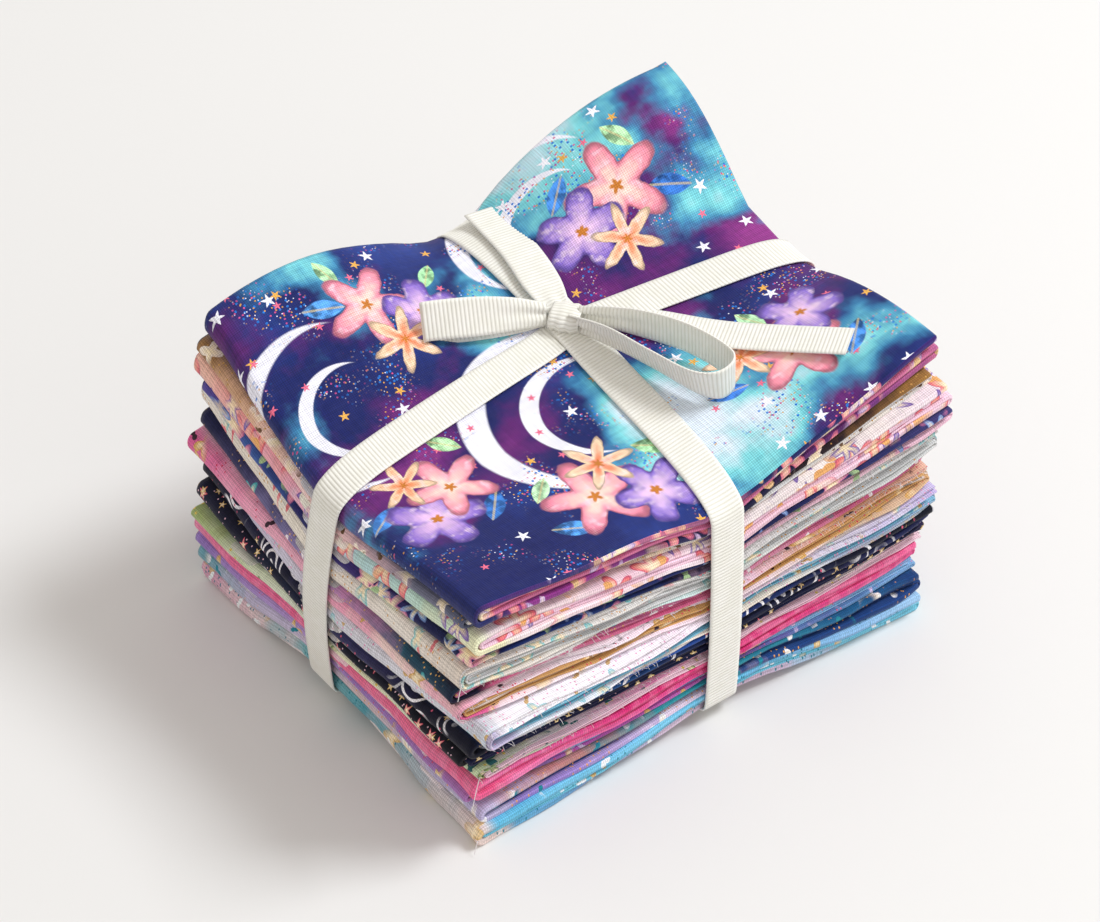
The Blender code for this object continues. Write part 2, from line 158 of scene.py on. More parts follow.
fatQuarters = [
    {
        "name": "galaxy", "share": 1.55, "edge": "fold", "roll": 0.2, "stray": 0.35, "step": (0.0, 0.8),
        "front": (2.4, 2.0), "left": (3.9, -3.3), "right": (-0.8, -0.8), "back": (5.4, -6.4),
        "leftColours": [
            (34, 38, 92), (40, 60, 110), (34, 36, 88), (96, 40, 108), (92, 40, 104), (38, 44, 98),
        ],
        "upper": [
            (98, 44, 120), (40, 46, 104), (190, 110, 140), (34, 38, 92), (36, 40, 96), (60, 40, 110),
        ],
        "lower": [
            (120, 50, 125), (150, 60, 140), (40, 40, 80), (28, 28, 60), (120, 60, 130), (200, 110, 150),
        ],
        "motif": "blossoms", "inks": [(226, 112, 140), (196, 170, 216), (226, 190, 140)],
    },
    {
        "name": "goldBlush", "share": 0.65, "edge": "fold", "roll": 0.3, "stray": 0.35, "step": (1.6, 2.2),
        "front": (1.8, 5.8), "left": (1.5, -2.9), "right": (-3.2, -3.3), "back": (-0.9, 0.0),
        "leftColours": [
            (150, 112, 74), (214, 170, 140), (236, 204, 200), (228, 186, 190), (120, 120, 140), (92, 98, 122),
        ],
        "upper": [
            (92, 98, 122), (140, 96, 48), (150, 104, 52), (36, 30, 40), (44, 32, 38), (150, 110, 60),
        ],
        "lower": [
            (120, 120, 138), (150, 110, 60), (226, 214, 206), (232, 226, 218), (226, 220, 216), (214, 214, 216),
        ],
        "motif": "specks", "inks": [(196, 150, 84), (240, 226, 214), (110, 82, 60)],
    },
    {
        "name": "blush", "share": 1.2, "edge": "fold", "roll": 0.5, "stray": 0.35, "step": (0.6, 0.0),
        "front": (2.4, 2.7), "left": (0.9, -2.0), "right": (-0.3, -5.9), "back": (0.9, 0.9),
        "leftColours": [
            (236, 186, 170), (232, 160, 160), (228, 164, 186), (172, 206, 214), (190, 218, 200), (232, 228, 190),
        ],
        "upper": [
            (222, 206, 212), (236, 214, 220), (226, 190, 206), (236, 224, 226), (238, 228, 226), (232, 214, 226),
        ],
        "lower": [
            (232, 222, 222), (236, 208, 216), (240, 224, 232), (232, 190, 208), (236, 206, 222), (234, 196, 216),
        ],
        "motif": "blossoms", "inks": [(226, 96, 112), (120, 96, 178), (228, 168, 106)],
    },
    {
        "name": "navyFloral", "share": 0.8, "edge": "fold", "roll": 0.3, "stray": 0.35, "step": (0.2, 0.6),
        "front": (1.5, 4.0), "left": (1.2, -4.4), "right": (0.2, -7.4), "back": (-0.9, -0.9),
        "leftColours": [
            (84, 74, 150), (60, 92, 160), (34, 40, 96), (60, 44, 110), (28, 32, 78), (24, 28, 70),
        ],
        "upper": [(22, 28, 72), (26, 48, 110), (24, 34, 84), (28, 32, 74), (34, 40, 90), (60, 58, 110)],
        "lower": [
            (26, 44, 104), (30, 56, 120), (26, 30, 70), (226, 180, 200), (236, 194, 212), (232, 186, 206),
        ],
        "motif": "blossoms", "inks": [(206, 120, 160), (110, 150, 210), (160, 190, 140)],
    },
    {
        "name": "cream", "share": 1.6, "edge": "cut", "roll": 0.05, "stray": 0.7, "step": (0.0, 0.6),
        "front": (-0.8, 3.8), "left": (3.0, -1.0), "right": (-2.4, -5.4), "back": (0.0, 1.3),
        "leftColours": [
            (222, 214, 206), (226, 216, 204), (228, 220, 208), (224, 214, 204), (226, 218, 210), (220, 206, 194),
        ],
        "upper": [
            (214, 204, 198), (222, 218, 214), (212, 210, 208), (206, 204, 204), (202, 202, 204), (214, 212, 212),
        ],
        "lower": [
            (208, 196, 188), (226, 222, 216), (196, 216, 216), (214, 214, 212), (204, 206, 206), (196, 198, 200),
        ],
        "motif": "specks", "inks": [(206, 150, 84), (112, 190, 198), (220, 120, 128)],
    },
    {
        "name": "dusk", "share": 0.8, "edge": "fold", "roll": 0.3, "stray": 0.35, "step": (2.8, 1.4),
        "front": (-2.3, 5.5), "left": (1.8, -1.8), "right": (-4.0, -3.0), "back": (0.9, -0.9),
        "leftColours": [
            (30, 32, 70), (60, 58, 96), (124, 118, 164), (190, 130, 176), (44, 84, 104), (26, 26, 54),
        ],
        "upper": [
            (28, 26, 48), (226, 150, 180), (214, 122, 160), (222, 190, 206), (214, 204, 210), (206, 160, 184),
        ],
        "lower": [
            (206, 96, 140), (222, 128, 166), (204, 84, 128), (222, 150, 180), (206, 100, 140), (196, 110, 150),
        ],
        "motif": "specks", "inks": [(214, 168, 96), (60, 160, 170), (236, 226, 232)],
    },
    {
        "name": "rose", "share": 1.15, "edge": "cut", "roll": 0.15, "stray": 0.8, "step": (0.8, 0.0),
        "front": (-1.5, 4.2), "left": (-2.5, -1.8), "right": (-3.0, -3.9), "back": (-1.3, 0.4),
        "leftColours": [
            (214, 96, 150), (232, 158, 186), (230, 170, 190), (230, 156, 182), (236, 206, 200), (232, 160, 186),
        ],
        "upper": [
            (236, 176, 200), (240, 226, 236), (238, 220, 232), (230, 196, 214), (206, 150, 110), (222, 176, 160),
        ],
        "lower": [
            (240, 214, 226), (242, 232, 240), (238, 216, 230), (226, 206, 214), (214, 190, 170), (196, 150, 96),
        ],
        "motif": "specks", "inks": [(210, 60, 92), (206, 158, 84), (60, 40, 52)],
    },
    {
        "name": "paleLilac", "share": 1.4, "edge": "cut", "roll": 0.2, "stray": 0.9, "step": (-0.6, 0.0),
        "front": (2.0, -1.6), "left": (2.6, -0.6), "right": (-1.2, -4.6), "back": (0.4, -0.4),
        "leftColours": [
            (186, 176, 208), (196, 190, 214), (204, 202, 218), (206, 206, 216), (212, 212, 222), (200, 208, 222),
        ],
        "upper": [
            (228, 228, 236), (242, 240, 248), (240, 232, 242), (226, 206, 222), (208, 204, 224), (190, 176, 222),
        ],
        "lower": [
            (206, 214, 226), (236, 234, 242), (226, 214, 204), (228, 218, 204), (160, 176, 210), (110, 170, 196),
        ],
        "motif": "specks", "inks": [(226, 150, 190), (150, 200, 214), (204, 170, 120)],
    },
    {
        "name": "nightArcs", "share": 1.0, "edge": "fold", "roll": 0.6, "stray": 0.35, "step": (-0.8, 0.4),
        "front": (0.4, 3.5), "left": (2.9, 1.2), "right": (-1.0, -3.4), "back": (-0.4, 0.9),
        "leftColours": [
            (22, 22, 46), (30, 30, 60), (18, 20, 44), (52, 50, 92), (20, 20, 42), (16, 18, 36),
        ],
        "upper": [
            (24, 60, 120), (26, 84, 160), (30, 76, 156), (26, 46, 104), (18, 22, 46), (14, 16, 32),
        ],
        "lower": [(30, 96, 150), (24, 84, 148), (20, 40, 84), (20, 24, 50), (40, 44, 84), (26, 34, 84)],
        "motif": "arcs", "inks": [(236, 234, 240), (206, 168, 96), (210, 90, 120)],
    },
    {
        "name": "nightStars", "share": 0.9, "edge": "fold", "roll": 0.7, "stray": 0.35, "step": (1.6, 3.4),
        "front": (-0.8, 3.3), "left": (-0.3, -0.3), "right": (-1.2, -2.3), "back": (0.9, -1.3),
        "leftColours": [
            (24, 26, 52), (20, 22, 44), (26, 34, 60), (18, 20, 40), (16, 18, 34), (12, 14, 26),
        ],
        "upper": [(14, 16, 30), (18, 20, 38), (22, 24, 50), (18, 20, 44), (24, 28, 60), (30, 36, 76)],
        "lower": [
            (14, 16, 28), (30, 40, 60), (110, 40, 80), (150, 50, 100), (60, 40, 80), (22, 26, 60),
        ],
        "motif": "stars", "inks": [(222, 84, 112), (208, 170, 92), (232, 190, 206)],
    },
    {
        "name": "leafCream", "share": 0.6, "edge": "cut", "roll": 0.1, "stray": 0.7, "step": (1.6, 1.2),
        "front": (2.3, 1.7), "left": (-3.4, -2.2), "right": (-0.8, -0.3), "back": (0.0, 0.4),
        "leftColours": [
            (158, 176, 116), (206, 216, 186), (216, 222, 204), (226, 224, 190), (212, 220, 196), (196, 214, 170),
        ],
        "upper": [
            (150, 176, 120), (206, 190, 204), (214, 130, 170), (220, 190, 206), (226, 214, 216), (232, 206, 214),
        ],
        "lower": [
            (176, 200, 150), (196, 190, 200), (210, 110, 160), (214, 170, 190), (222, 200, 206), (226, 190, 206),
        ],
        "motif": "leaves", "inks": [(40, 92, 96), (92, 136, 74), (214, 190, 96)],
    },
    {
        "name": "hotPink", "share": 1.1, "edge": "fold", "roll": 0.9, "stray": 0.35, "step": (0.4, 0.8),
        "front": (0.5, 1.9), "left": (-2.4, -1.2), "right": (-1.6, 0.4), "back": (-0.9, 0.9),
        "leftColours": [
            (226, 120, 160), (224, 100, 146), (222, 96, 140), (226, 108, 146), (228, 112, 150), (226, 92, 140),
        ],
        "upper": [
            (232, 116, 170), (226, 84, 148), (206, 36, 108), (214, 60, 124), (222, 84, 138), (226, 96, 146),
        ],
        "lower": [
            (236, 130, 178), (232, 104, 164), (222, 76, 144), (210, 50, 120), (220, 80, 140), (224, 90, 146),
        ],
        "motif": "none", "inks": [(236, 150, 186), (206, 30, 100), (240, 170, 200)],
    },
    {
        "name": "violet", "share": 0.7, "edge": "fold", "roll": 0.4, "stray": 0.35, "step": (2.2, 1.2),
        "front": (0.3, 4.2), "left": (-1.8, -0.7), "right": (-1.4, -0.4), "back": (0.9, 0.4),
        "leftColours": [
            (146, 120, 190), (164, 136, 200), (176, 150, 206), (150, 120, 186), (160, 120, 184), (168, 118, 180),
        ],
        "upper": [
            (96, 128, 172), (84, 120, 170), (110, 140, 190), (178, 84, 168), (160, 90, 170), (120, 150, 196),
        ],
        "lower": [
            (92, 126, 176), (176, 96, 180), (184, 100, 178), (96, 96, 160), (90, 130, 180), (126, 170, 212),
        ],
        "motif": "specks", "inks": [(206, 84, 120), (208, 168, 96), (206, 190, 226)],
    },
    {
        "name": "lilac", "share": 1.0, "edge": "fold", "roll": 0.8, "stray": 0.35, "step": (0.8, 0.0),
        "front": (2.1, 1.7), "left": (-1.7, -0.9), "right": (-1.0, -1.9), "back": (-0.4, -0.4),
        "leftColours": [
            (110, 160, 176), (186, 180, 206), (196, 184, 212), (206, 180, 180), (190, 180, 210), (178, 170, 206),
        ],
        "upper": [
            (196, 190, 220), (186, 128, 126), (46, 140, 152), (40, 130, 150), (30, 96, 140), (24, 60, 112),
        ],
        "lower": [
            (144, 124, 196), (150, 130, 200), (222, 204, 228), (30, 66, 124), (24, 60, 118), (30, 60, 116),
        ],
        "motif": "specks", "inks": [(226, 160, 84), (236, 236, 240), (30, 130, 150)],
    },
    {
        "name": "aqua", "share": 1.4, "edge": "fold", "roll": 0.9, "stray": 0.35, "step": (0.0, 1.2),
        "front": (0.4, -0.3), "left": (-1.0, -0.8), "right": (-1.4, -2.4), "back": (0.0, 0.0),
        "leftColours": [
            (214, 160, 186), (220, 196, 200), (122, 178, 186), (80, 150, 166), (190, 190, 196), (226, 204, 198),
        ],
        "upper": [
            (84, 176, 214), (112, 190, 226), (120, 196, 230), (96, 180, 220), (130, 180, 226), (150, 190, 228),
        ],
        "lower": [
            (96, 170, 206), (104, 150, 196), (206, 184, 206), (200, 176, 200), (120, 190, 214), (110, 190, 216),
        ],
        "motif": "specks", "inks": [(28, 120, 140), (206, 170, 110), (236, 240, 244)],
    },
]
topPiece = fatQuarters[0]


def cornerWeights():
    # how the air between the pieces is shared out at each corner, from the bottom piece up
    draw = np.random.default_rng(11)
    weights = draw.uniform(0.35, 1.65, (len(fatQuarters), 4))
    weights[-1] = (1.0, 0.8, 2.6, 2.0)  # the top piece lifts off at its right and back corners
    return weights / weights.mean(axis=0)


airWeights = cornerWeights()
shares = np.array([piece["share"] for piece in reversed(fatQuarters)])
shares = shares / shares.mean()


def pieceBottom(order, x, y):
    # order counts the pieces up from the bottom
    under, thick = underHeight(x, y), pieceThickness(x, y)
    air = (topHeight(x, y) - under) / len(fatQuarters) - thick
    across, back = np.clip(x / stack["length"], 0, 1), np.clip(y / stack["depth"], 0, 1)
    total = airWeights[: order].sum(axis=0)
    spread = (total[0] * (1 - across) + total[2] * across) * (1 - back)
    spread = spread + (total[1] * (1 - across) + total[3] * across) * back
    return under + thick * shares[:order].sum() + air * spread


def gapUnder(order, x, y):
    if order == 0:
        return 0.0 * x
    # the air between a piece and the top of the one below it
    below = pieceBottom(order - 1, x, y) + pieceThickness(x, y) * shares[order - 1]
    return pieceBottom(order, x, y) - below


def wave(draw, size, shortest, longest):
    # a soft random line: a few sines, none longer or shorter than these
    lengths = draw.uniform(shortest, longest, 4)
    phases = draw.uniform(0, 2 * math.pi, 4)
    heights = draw.uniform(0.4, 1.0, 4) * size / 2.2

    def line(along):
        total = 0.0
        for length, phase, height in zip(lengths, phases, heights):
            total = total + height * np.sin(2 * math.pi * along / length + phase)
        return total

    return line


def crowded(low, high, count, crowd=0.75):
    # places from low to high, closer together at both ends
    step = np.linspace(0, 1, count)
    return low + (high - low) * (step - crowd * np.sin(2 * math.pi * step) / (2 * math.pi))


def halfTurn(centre, radius, start, turn, steps):
    angles = np.radians(start + turn * np.arange(steps + 1) / steps)
    return centre[0] + radius * np.cos(angles), centre[1] + radius * np.sin(angles)


def passRoute(fine, hidden):
    # the way the four passes go in x and level: folded in half, then in half again
    pitch = cloth["passPitch"]
    low, innerLow, innerHigh, high = ((index + 0.5) * pitch for index in range(4))
    wide, tight = (high - low) / 2, (innerHigh - innerLow) / 2
    centre = (high + low) / 2
    right = stack["length"]
    stretches = [
        ("topPass", crowded(right - 1.6, wide + 0.5, fine), high),
        ("outerFold", halfTurn((wide + 0.5, centre), wide, 90, 180, 12), None),
        ("lowPass", crowded(wide + 0.5, right - 1.1, fine), low),
        ("rightFold", halfTurn((right - 1.1, low + tight), tight, -90, 180, 6), None),
        ("innerPass", crowded(right - 1.1, wide + 1.1, hidden), innerLow),
        ("innerFold", halfTurn((wide + 1.1, centre), tight, -90, -180, 6), None),
        ("endPass", crowded(wide + 1.1, right - 2.6, hidden), innerHigh),
    ]
    x, level, outer = [], [], []
    for name, places, height in stretches:
        places = places if height is None else (places, np.full(len(places), height))
        first = 0 if not x else 1
        x.append(places[0][first:])
        level.append(places[1][first:])
        isOuter = name in ("topPass", "outerFold", "lowPass")
        outer.append(np.full(len(places[0]) - first, 1.0 if isOuter else 0.0))
    x, level, outer = (np.concatenate(parts) for parts in (x, level, outer))
    return x, level, outer


def plyRoute(fine, hidden, cutAtFront):
    # the way the four plies of a pass go in y and in level from the pass's middle
    pitch = cloth["plyPitch"]
    depth = stack["depth"]
    wide, tight = 1.5 * pitch, 0.5 * pitch
    stretches = [
        (crowded(depth - 0.6, wide, fine), wide),
        (halfTurn((wide, 0.0), wide, 90, 180, 8), None),
        (crowded(wide, depth - tight, fine), -wide),
        (halfTurn((depth - tight, -pitch), tight, -90, 180, 5), None),
        (crowded(depth - tight, 2.6, hidden), -tight),
        (halfTurn((2.6, 0.0), tight, -90, -180, 5), None),
        (crowded(2.6, depth - 1.4, hidden), tight),
    ]
    y, level = [], []
    for places, height in stretches:
        places = places if height is None else (places, np.full(len(places), height))
        first = 0 if not y else 1
        y.append(places[0][first:])
        level.append(places[1][first:])
    y, level = np.concatenate(y), np.concatenate(level)
    return (depth - y if cutAtFront else y), level


def lengthAlong(*coordinates):
    steps = np.sqrt(sum(np.diff(values) ** 2 for values in coordinates))
    return np.concatenate([[0.0], np.cumsum(steps)])


def sideLine(start, end, waist, share, press):
    # a side's place: one corner's offset to the other's, drawn in to the waist by the ribbon
    before = start + (waist - start) * np.clip(share / press[0], 0, 1) ** 1.4
    after = end + (waist - end) * np.clip((1 - share) / (1 - press[1]), 0, 1) ** 1.4
    middle = (press[0] + press[1]) / 2
    return np.where(share < middle, before, after)


def foldedPlaces(order, piece):
    # the middle of the cloth, on a grid: along its length by across its width
    draw = np.random.default_rng(400 + order)
    onTop = piece is topPiece
    cut = piece["edge"] == "cut"
    x, level, outer = passRoute(44, 44) if onTop else passRoute(30, 15)
    y, plyLevel = plyRoute(34, 34, cut) if onTop else plyRoute(20, 10, cut)
    along, across = lengthAlong(x, level), lengthAlong(y, plyLevel)
    slopeX, slopeLevel = np.gradient(x, along), np.gradient(level, along)
    size = np.hypot(slopeX, slopeLevel)
    normalX, normalLevel = slopeLevel / size, -slopeX / size

    frontShare = np.exp(-((y / 5.5) ** 2))[None, :]
    outer = outer[:, None]
    puff = 1 + piece["roll"] * frontShare * outer
    pull = 0.3 * piece["roll"] * frontShare * outer
    middle = cloth["passPitch"] * 2
    spotX = x[:, None] + normalX[:, None] * plyLevel[None, :] * puff
    spotLevel = level[:, None] + normalLevel[:, None] * plyLevel[None, :] * puff
    spotLevel = spotLevel - pull * (level[:, None] - middle) / (middle * 0.75)
    spotY = np.broadcast_to(y[None, :], spotX.shape)
    for number in range(5):
        # each ply's front end wanders by itself
        ownPly = np.exp(-(((across - number * 120.5) / 40) ** 2))[None, :]
        wander = wave(draw, piece["stray"], 18, 90)(along)[:, None]
        spotY = spotY + ownPly * wander * np.exp(-np.abs(y) / 14)[None, :]
        lift = wave(draw, 0.16, 15, 60)(along)[:, None]
        spotLevel = spotLevel + ownPly * lift * np.exp(-np.abs(y) / 9)[None, :]
    spotLevel = spotLevel + (wave(draw, 0.2, 20, 75)(along) * (1 - 0.5 * outer[:, 0]))[:, None]

    total = along[-1]
    quarter = total / 4
    inside = 0.8 if cut else draw.uniform(0.8, 2.6)
    standBack = np.interp(
        along,
        [0, quarter - 8, quarter + 8, 2 * quarter - 6, 2 * quarter + 8, 3 * quarter, total],
        [piece["step"][0]] * 2 + [piece["step"][1]] * 2 + [inside, inside * 0.8, inside],
    )
    standBack = standBack + wave(draw, 0.55, 22, 80)(along) * (0.5 + 0.5 * outer[:, 0])
    nearRibbon = np.exp(-(((x - stack["pressMiddle"]) / 14) ** 2))
    standBack = standBack + nearRibbon * np.clip(0.3 - standBack, 0, None)
    shareX, shareY = spotX / stack["length"], spotY / stack["depth"]
    pressX = [value / stack["length"] for value in stack["pressX"]]
    pressY = [value / stack["depth"] for value in stack["pressY"]]
    levelShare = (order + 0.5) / len(fatQuarters)
    bulge = stack["sideBulge"] * math.sin(math.pi * levelShare)
    leftLine = sideLine(piece["front"][0], piece["left"][0], 1.0 - bulge, shareY, pressY)
    rightLine = sideLine(piece["right"][0], piece["back"][0], bulge * 0.5 - 1.2, shareY, pressY)
    frontLine = sideLine(piece["front"][1], piece["right"][1], 0.8 - bulge * 0.3, shareX, pressX)
    backLine = sideLine(piece["left"][1], piece["back"][1], bulge * 0.3 - 0.8, shareX, pressX)
    leftLine = leftLine + wave(draw, 0.35, 24, 70)(spotY)
    frontLine = frontLine + standBack[:, None]
    placeX = spotX + leftLine * (1 - shareX) + rightLine * shareX
    placeY = spotY + frontLine * (1 - shareY) + backLine * shareY

    thick = pieceThickness(placeX, placeY) * shares[order]
    levelPart = spotLevel / (cloth["passPitch"] * 4)
    placeZ = pieceBottom(order, placeX, placeY) + thick * levelPart
    placeZ = placeZ - stack["airInside"] * gapUnder(order, placeX, placeY) * (1 - levelPart)
    loose = 1 - np.maximum(
        pressShare(placeX, stack["pressX"], stack["length"]),
        pressShare(placeY, stack["pressY"], stack["depth"]),
    )
    rumple = wave(draw, 0.30, 26, 70)(placeX) + wave(draw, 0.30, 26, 70)(placeY)
    placeZ = placeZ + rumple * loose
    if onTop:
        placeZ = placeZ + raisedBy(placeX, placeY)
    places = np.stack([placeX, placeY, placeZ], axis=-1)
    return (places[:, ::-1], along, across[::-1]) if cut else (places, along, across)


def raisedBy(x, y):
    # the top piece's back corner stands up off the stack
    shareX = np.clip((x - stack["pressX"][1]) / (stack["length"] - stack["pressX"][1]), 0, 1.1)
    shareY = np.clip((y - stack["pressY"][1]) / (stack["depth"] - stack["pressY"][1]), 0, 1.1)
    return stack["raisedCorner"] * (shareX**0.8 * shareY**1.2)


def ribbonRest(x, y):
    # where a ribbon lies on the top piece
    order = len(fatQuarters) - 1
    x, y = np.asarray(x, float), np.asarray(y, float)
    thick = pieceThickness(x, y) * shares[order]
    return pieceBottom(order, x, y) + thick + raisedBy(x, y) + 0.1


def clothMesh(name, places, along, across, thick):
    # a grid of places made a closed sheet of even thickness, with a face for each side.
    # The UV map holds the place on the flat cloth, in units of 100 mm; "printed" is 1 on
    # the printed side and 0 on the back.
    rows, columns = places.shape[:2]
    slopeAlong = np.gradient(places, axis=0)
    slopeAcross = np.gradient(places, axis=1)
    normals = np.cross(slopeAlong, slopeAcross)
    normals /= np.maximum(np.linalg.norm(normals, axis=-1, keepdims=True), 1e-9)
    half = normals * np.broadcast_to(thick, places.shape[:2])[:, :, None] / 2
    shell = [places + half, places - half]
    points = np.concatenate([side.reshape(-1, 3) for side in shell])
    index = np.arange(rows * columns).reshape(rows, columns)
    a, b, c, d = index[:-1, :-1], index[1:, :-1], index[1:, 1:], index[:-1, 1:]
    upper = np.stack([a, b, c, d], axis=-1).reshape(-1, 4)
    lower = np.stack([a, d, c, b], axis=-1).reshape(-1, 4) + rows * columns
    rims = []
    for line in (index[::-1, 0], index[:, -1], index[-1, ::-1], index[0, :]):
        near, far = line[:-1], line[1:]
        rims.append(np.stack([near, far, far + rows * columns, near + rows * columns], axis=-1))
    faces = np.concatenate([upper, lower] + rims)
    mesh = bpy.data.meshes.new(name)
    mesh.from_pydata(toFrame(points).tolist(), [], faces.tolist())
    flatPlace = np.stack(np.broadcast_arrays(along[:, None], across[None, :]), axis=-1)
    flatPlace = np.concatenate([flatPlace.reshape(-1, 2)] * 2) / 100.0
    corners = np.empty(len(mesh.loops), np.int32)
    mesh.loops.foreach_get("vertex_index", corners)
    layer = mesh.uv_layers.new(name="flatCloth")
    layer.data.foreach_set("uv", flatPlace[corners].astype(np.float32).ravel())
    side = mesh.attributes.new("printed", "FLOAT", "POINT")
    printed = np.concatenate([np.ones(rows * columns), np.zeros(rows * columns)])
    side.data.foreach_set("value", printed.astype(np.float32))
    mesh.shade_smooth()
    mesh.update()
    piece = bpy.data.objects.new(name, mesh)
    bpy.context.scene.collection.objects.link(piece)
    return piece


def newMaterial(name):
    material = bpy.data.materials.new(name)
    material.use_nodes = True
    return material


def put(tree, kind, values=None, **settings):
    # a node with its settings, and its inputs by name or place: a number, a colour or a socket
    node = tree.nodes.new(kind)
    for key, value in settings.items():
        setattr(node, key, value)
    for key, value in (values or {}).items():
        if isinstance(value, bpy.types.NodeSocket):
            tree.links.new(value, node.inputs[key])
        elif value is not None:
            node.inputs[key].default_value = value
    return node


def maths(tree, operation, first, second=None, third=None, clamp=False):
    values = {0: first, 1: second, 2: third}
    return put(tree, "ShaderNodeMath", values, operation=operation, use_clamp=clamp).outputs[0]


def vectors(tree, operation, first, second=None, scale=None):
    values = {0: first, 1: second}
    if scale is not None:
        values["Scale"] = scale
    node = put(tree, "ShaderNodeVectorMath", values, operation=operation)
    return node.outputs["Value" if operation in ("LENGTH", "DISTANCE", "DOT_PRODUCT") else "Vector"]


def fade(tree, value, low, high, start=0.0, end=1.0):
    values = {"Value": value, 1: low, 2: high, 3: start, 4: end}
    node = put(tree, "ShaderNodeMapRange", values, interpolation_type="SMOOTHSTEP")
    return node.outputs["Result"]


def layer(tree, share, under, over, blend="MIX"):
    node = put(tree, "ShaderNodeMix", {0: share, 6: under, 7: over}, data_type="RGBA", blend_type=blend)
    return node.outputs[2]


def ramp(tree, value, colours, interpolation="LINEAR"):
    node = put(tree, "ShaderNodeValToRGB", {"Fac": value})
    node.color_ramp.interpolation = interpolation
    points = node.color_ramp.elements
    while len(points) < len(colours):
        points.new(0.5)
    for index, colour in enumerate(colours):
        points[index].position = index / (len(colours) - 1)
        points[index].color = linear(*colour)
    return node.outputs["Color"]


def noise(tree, vector, scale, detail=2.0, output="Fac"):
    values = {"Vector": vector, "Scale": scale, "Detail": detail}
    return put(tree, "ShaderNodeTexNoise", values).outputs[output]


def combined(tree, x, y, z=0.0):
    return put(tree, "ShaderNodeCombineXYZ", {0: x, 1: y, 2: z}).outputs[0]


def split(tree, vector):
    return put(tree, "ShaderNodeSeparateXYZ", {0: vector}).outputs


groupKinds = {"value": "NodeSocketFloat", "vector": "NodeSocketVector", "colour": "NodeSocketColor"}


def newGroup(name, inputs, outputs):
    tree = bpy.data.node_groups.new(name, "ShaderNodeTree")
    for label, (kind, default) in inputs.items():
        socket = tree.interface.new_socket(label, in_out="INPUT", socket_type=groupKinds[kind])
        if default is not None:
            socket.default_value = default
    for label, kind in outputs.items():
        tree.interface.new_socket(label, in_out="OUTPUT", socket_type=groupKinds[kind])
    return tree, tree.nodes.new("NodeGroupInput").outputs, tree.nodes.new("NodeGroupOutput")


def finishGroup(tree, end, **results):
    for label, socket in results.items():
        tree.links.new(socket, end.inputs[label])
    return tree


def placed(tree, group, values):
    node = tree.nodes.new("ShaderNodeGroup")
    node.node_tree = group
    for key, value in values.items():
        if isinstance(value, bpy.types.NodeSocket):
            tree.links.new(value, node.inputs[key])
        else:
            node.inputs[key].default_value = value
    return node.outputs


def makePlainWeave():
    # warp over weft under, with uneven yarns; Place is in units of 100 mm. The second output is the yarns'
    # uneven colour plus painted shade, darker between the threads and lighter on their crowns
    inputs = {"Place": ("vector", None), "Threads": ("value", 240.0)}
    tree, given, end = newGroup("plainWeave", inputs, {"Height": "value", "Tone": "value"})
    along, across, _ = split(tree, given["Place"])
    turns = maths(tree, "MULTIPLY", given["Threads"], math.pi)
    warp = maths(tree, "SINE", maths(tree, "MULTIPLY", along, turns))
    weft = maths(tree, "SINE", maths(tree, "MULTIPLY", across, turns))
    over = maths(tree, "MULTIPLY", warp, weft)
    sideA = maths(tree, "MULTIPLY", maths(tree, "ABSOLUTE", warp), fade(tree, over, -1.0, 1.0))
    sideB = maths(tree, "MULTIPLY", maths(tree, "ABSOLUTE", weft), fade(tree, over, 1.0, -1.0))
    height = maths(tree, "MAXIMUM", sideA, sideB)
    slow, fast = 9.0, 160.0
    alongSlow, acrossFast = maths(tree, "MULTIPLY", along, slow), maths(tree, "MULTIPLY", across, fast)
    longYarn = noise(tree, combined(tree, alongSlow, acrossFast), 1.0)
    alongFast, acrossSlow = maths(tree, "MULTIPLY", along, fast), maths(tree, "MULTIPLY", across, slow)
    crossYarn = noise(tree, combined(tree, alongFast, acrossSlow, 5.0), 1.0)
    yarns = maths(tree, "ADD", longYarn, crossYarn)
    # painted shade: the thread height lightens the crowns and darkens the gaps between the threads
    yarnToneAndShade = maths(tree, "ADD", fade(tree, yarns, 0.6, 1.4, 0.74, 0.92), maths(tree, "MULTIPLY", height, 0.36))
    return finishGroup(tree, end, Height=height, Tone=yarnToneAndShade)


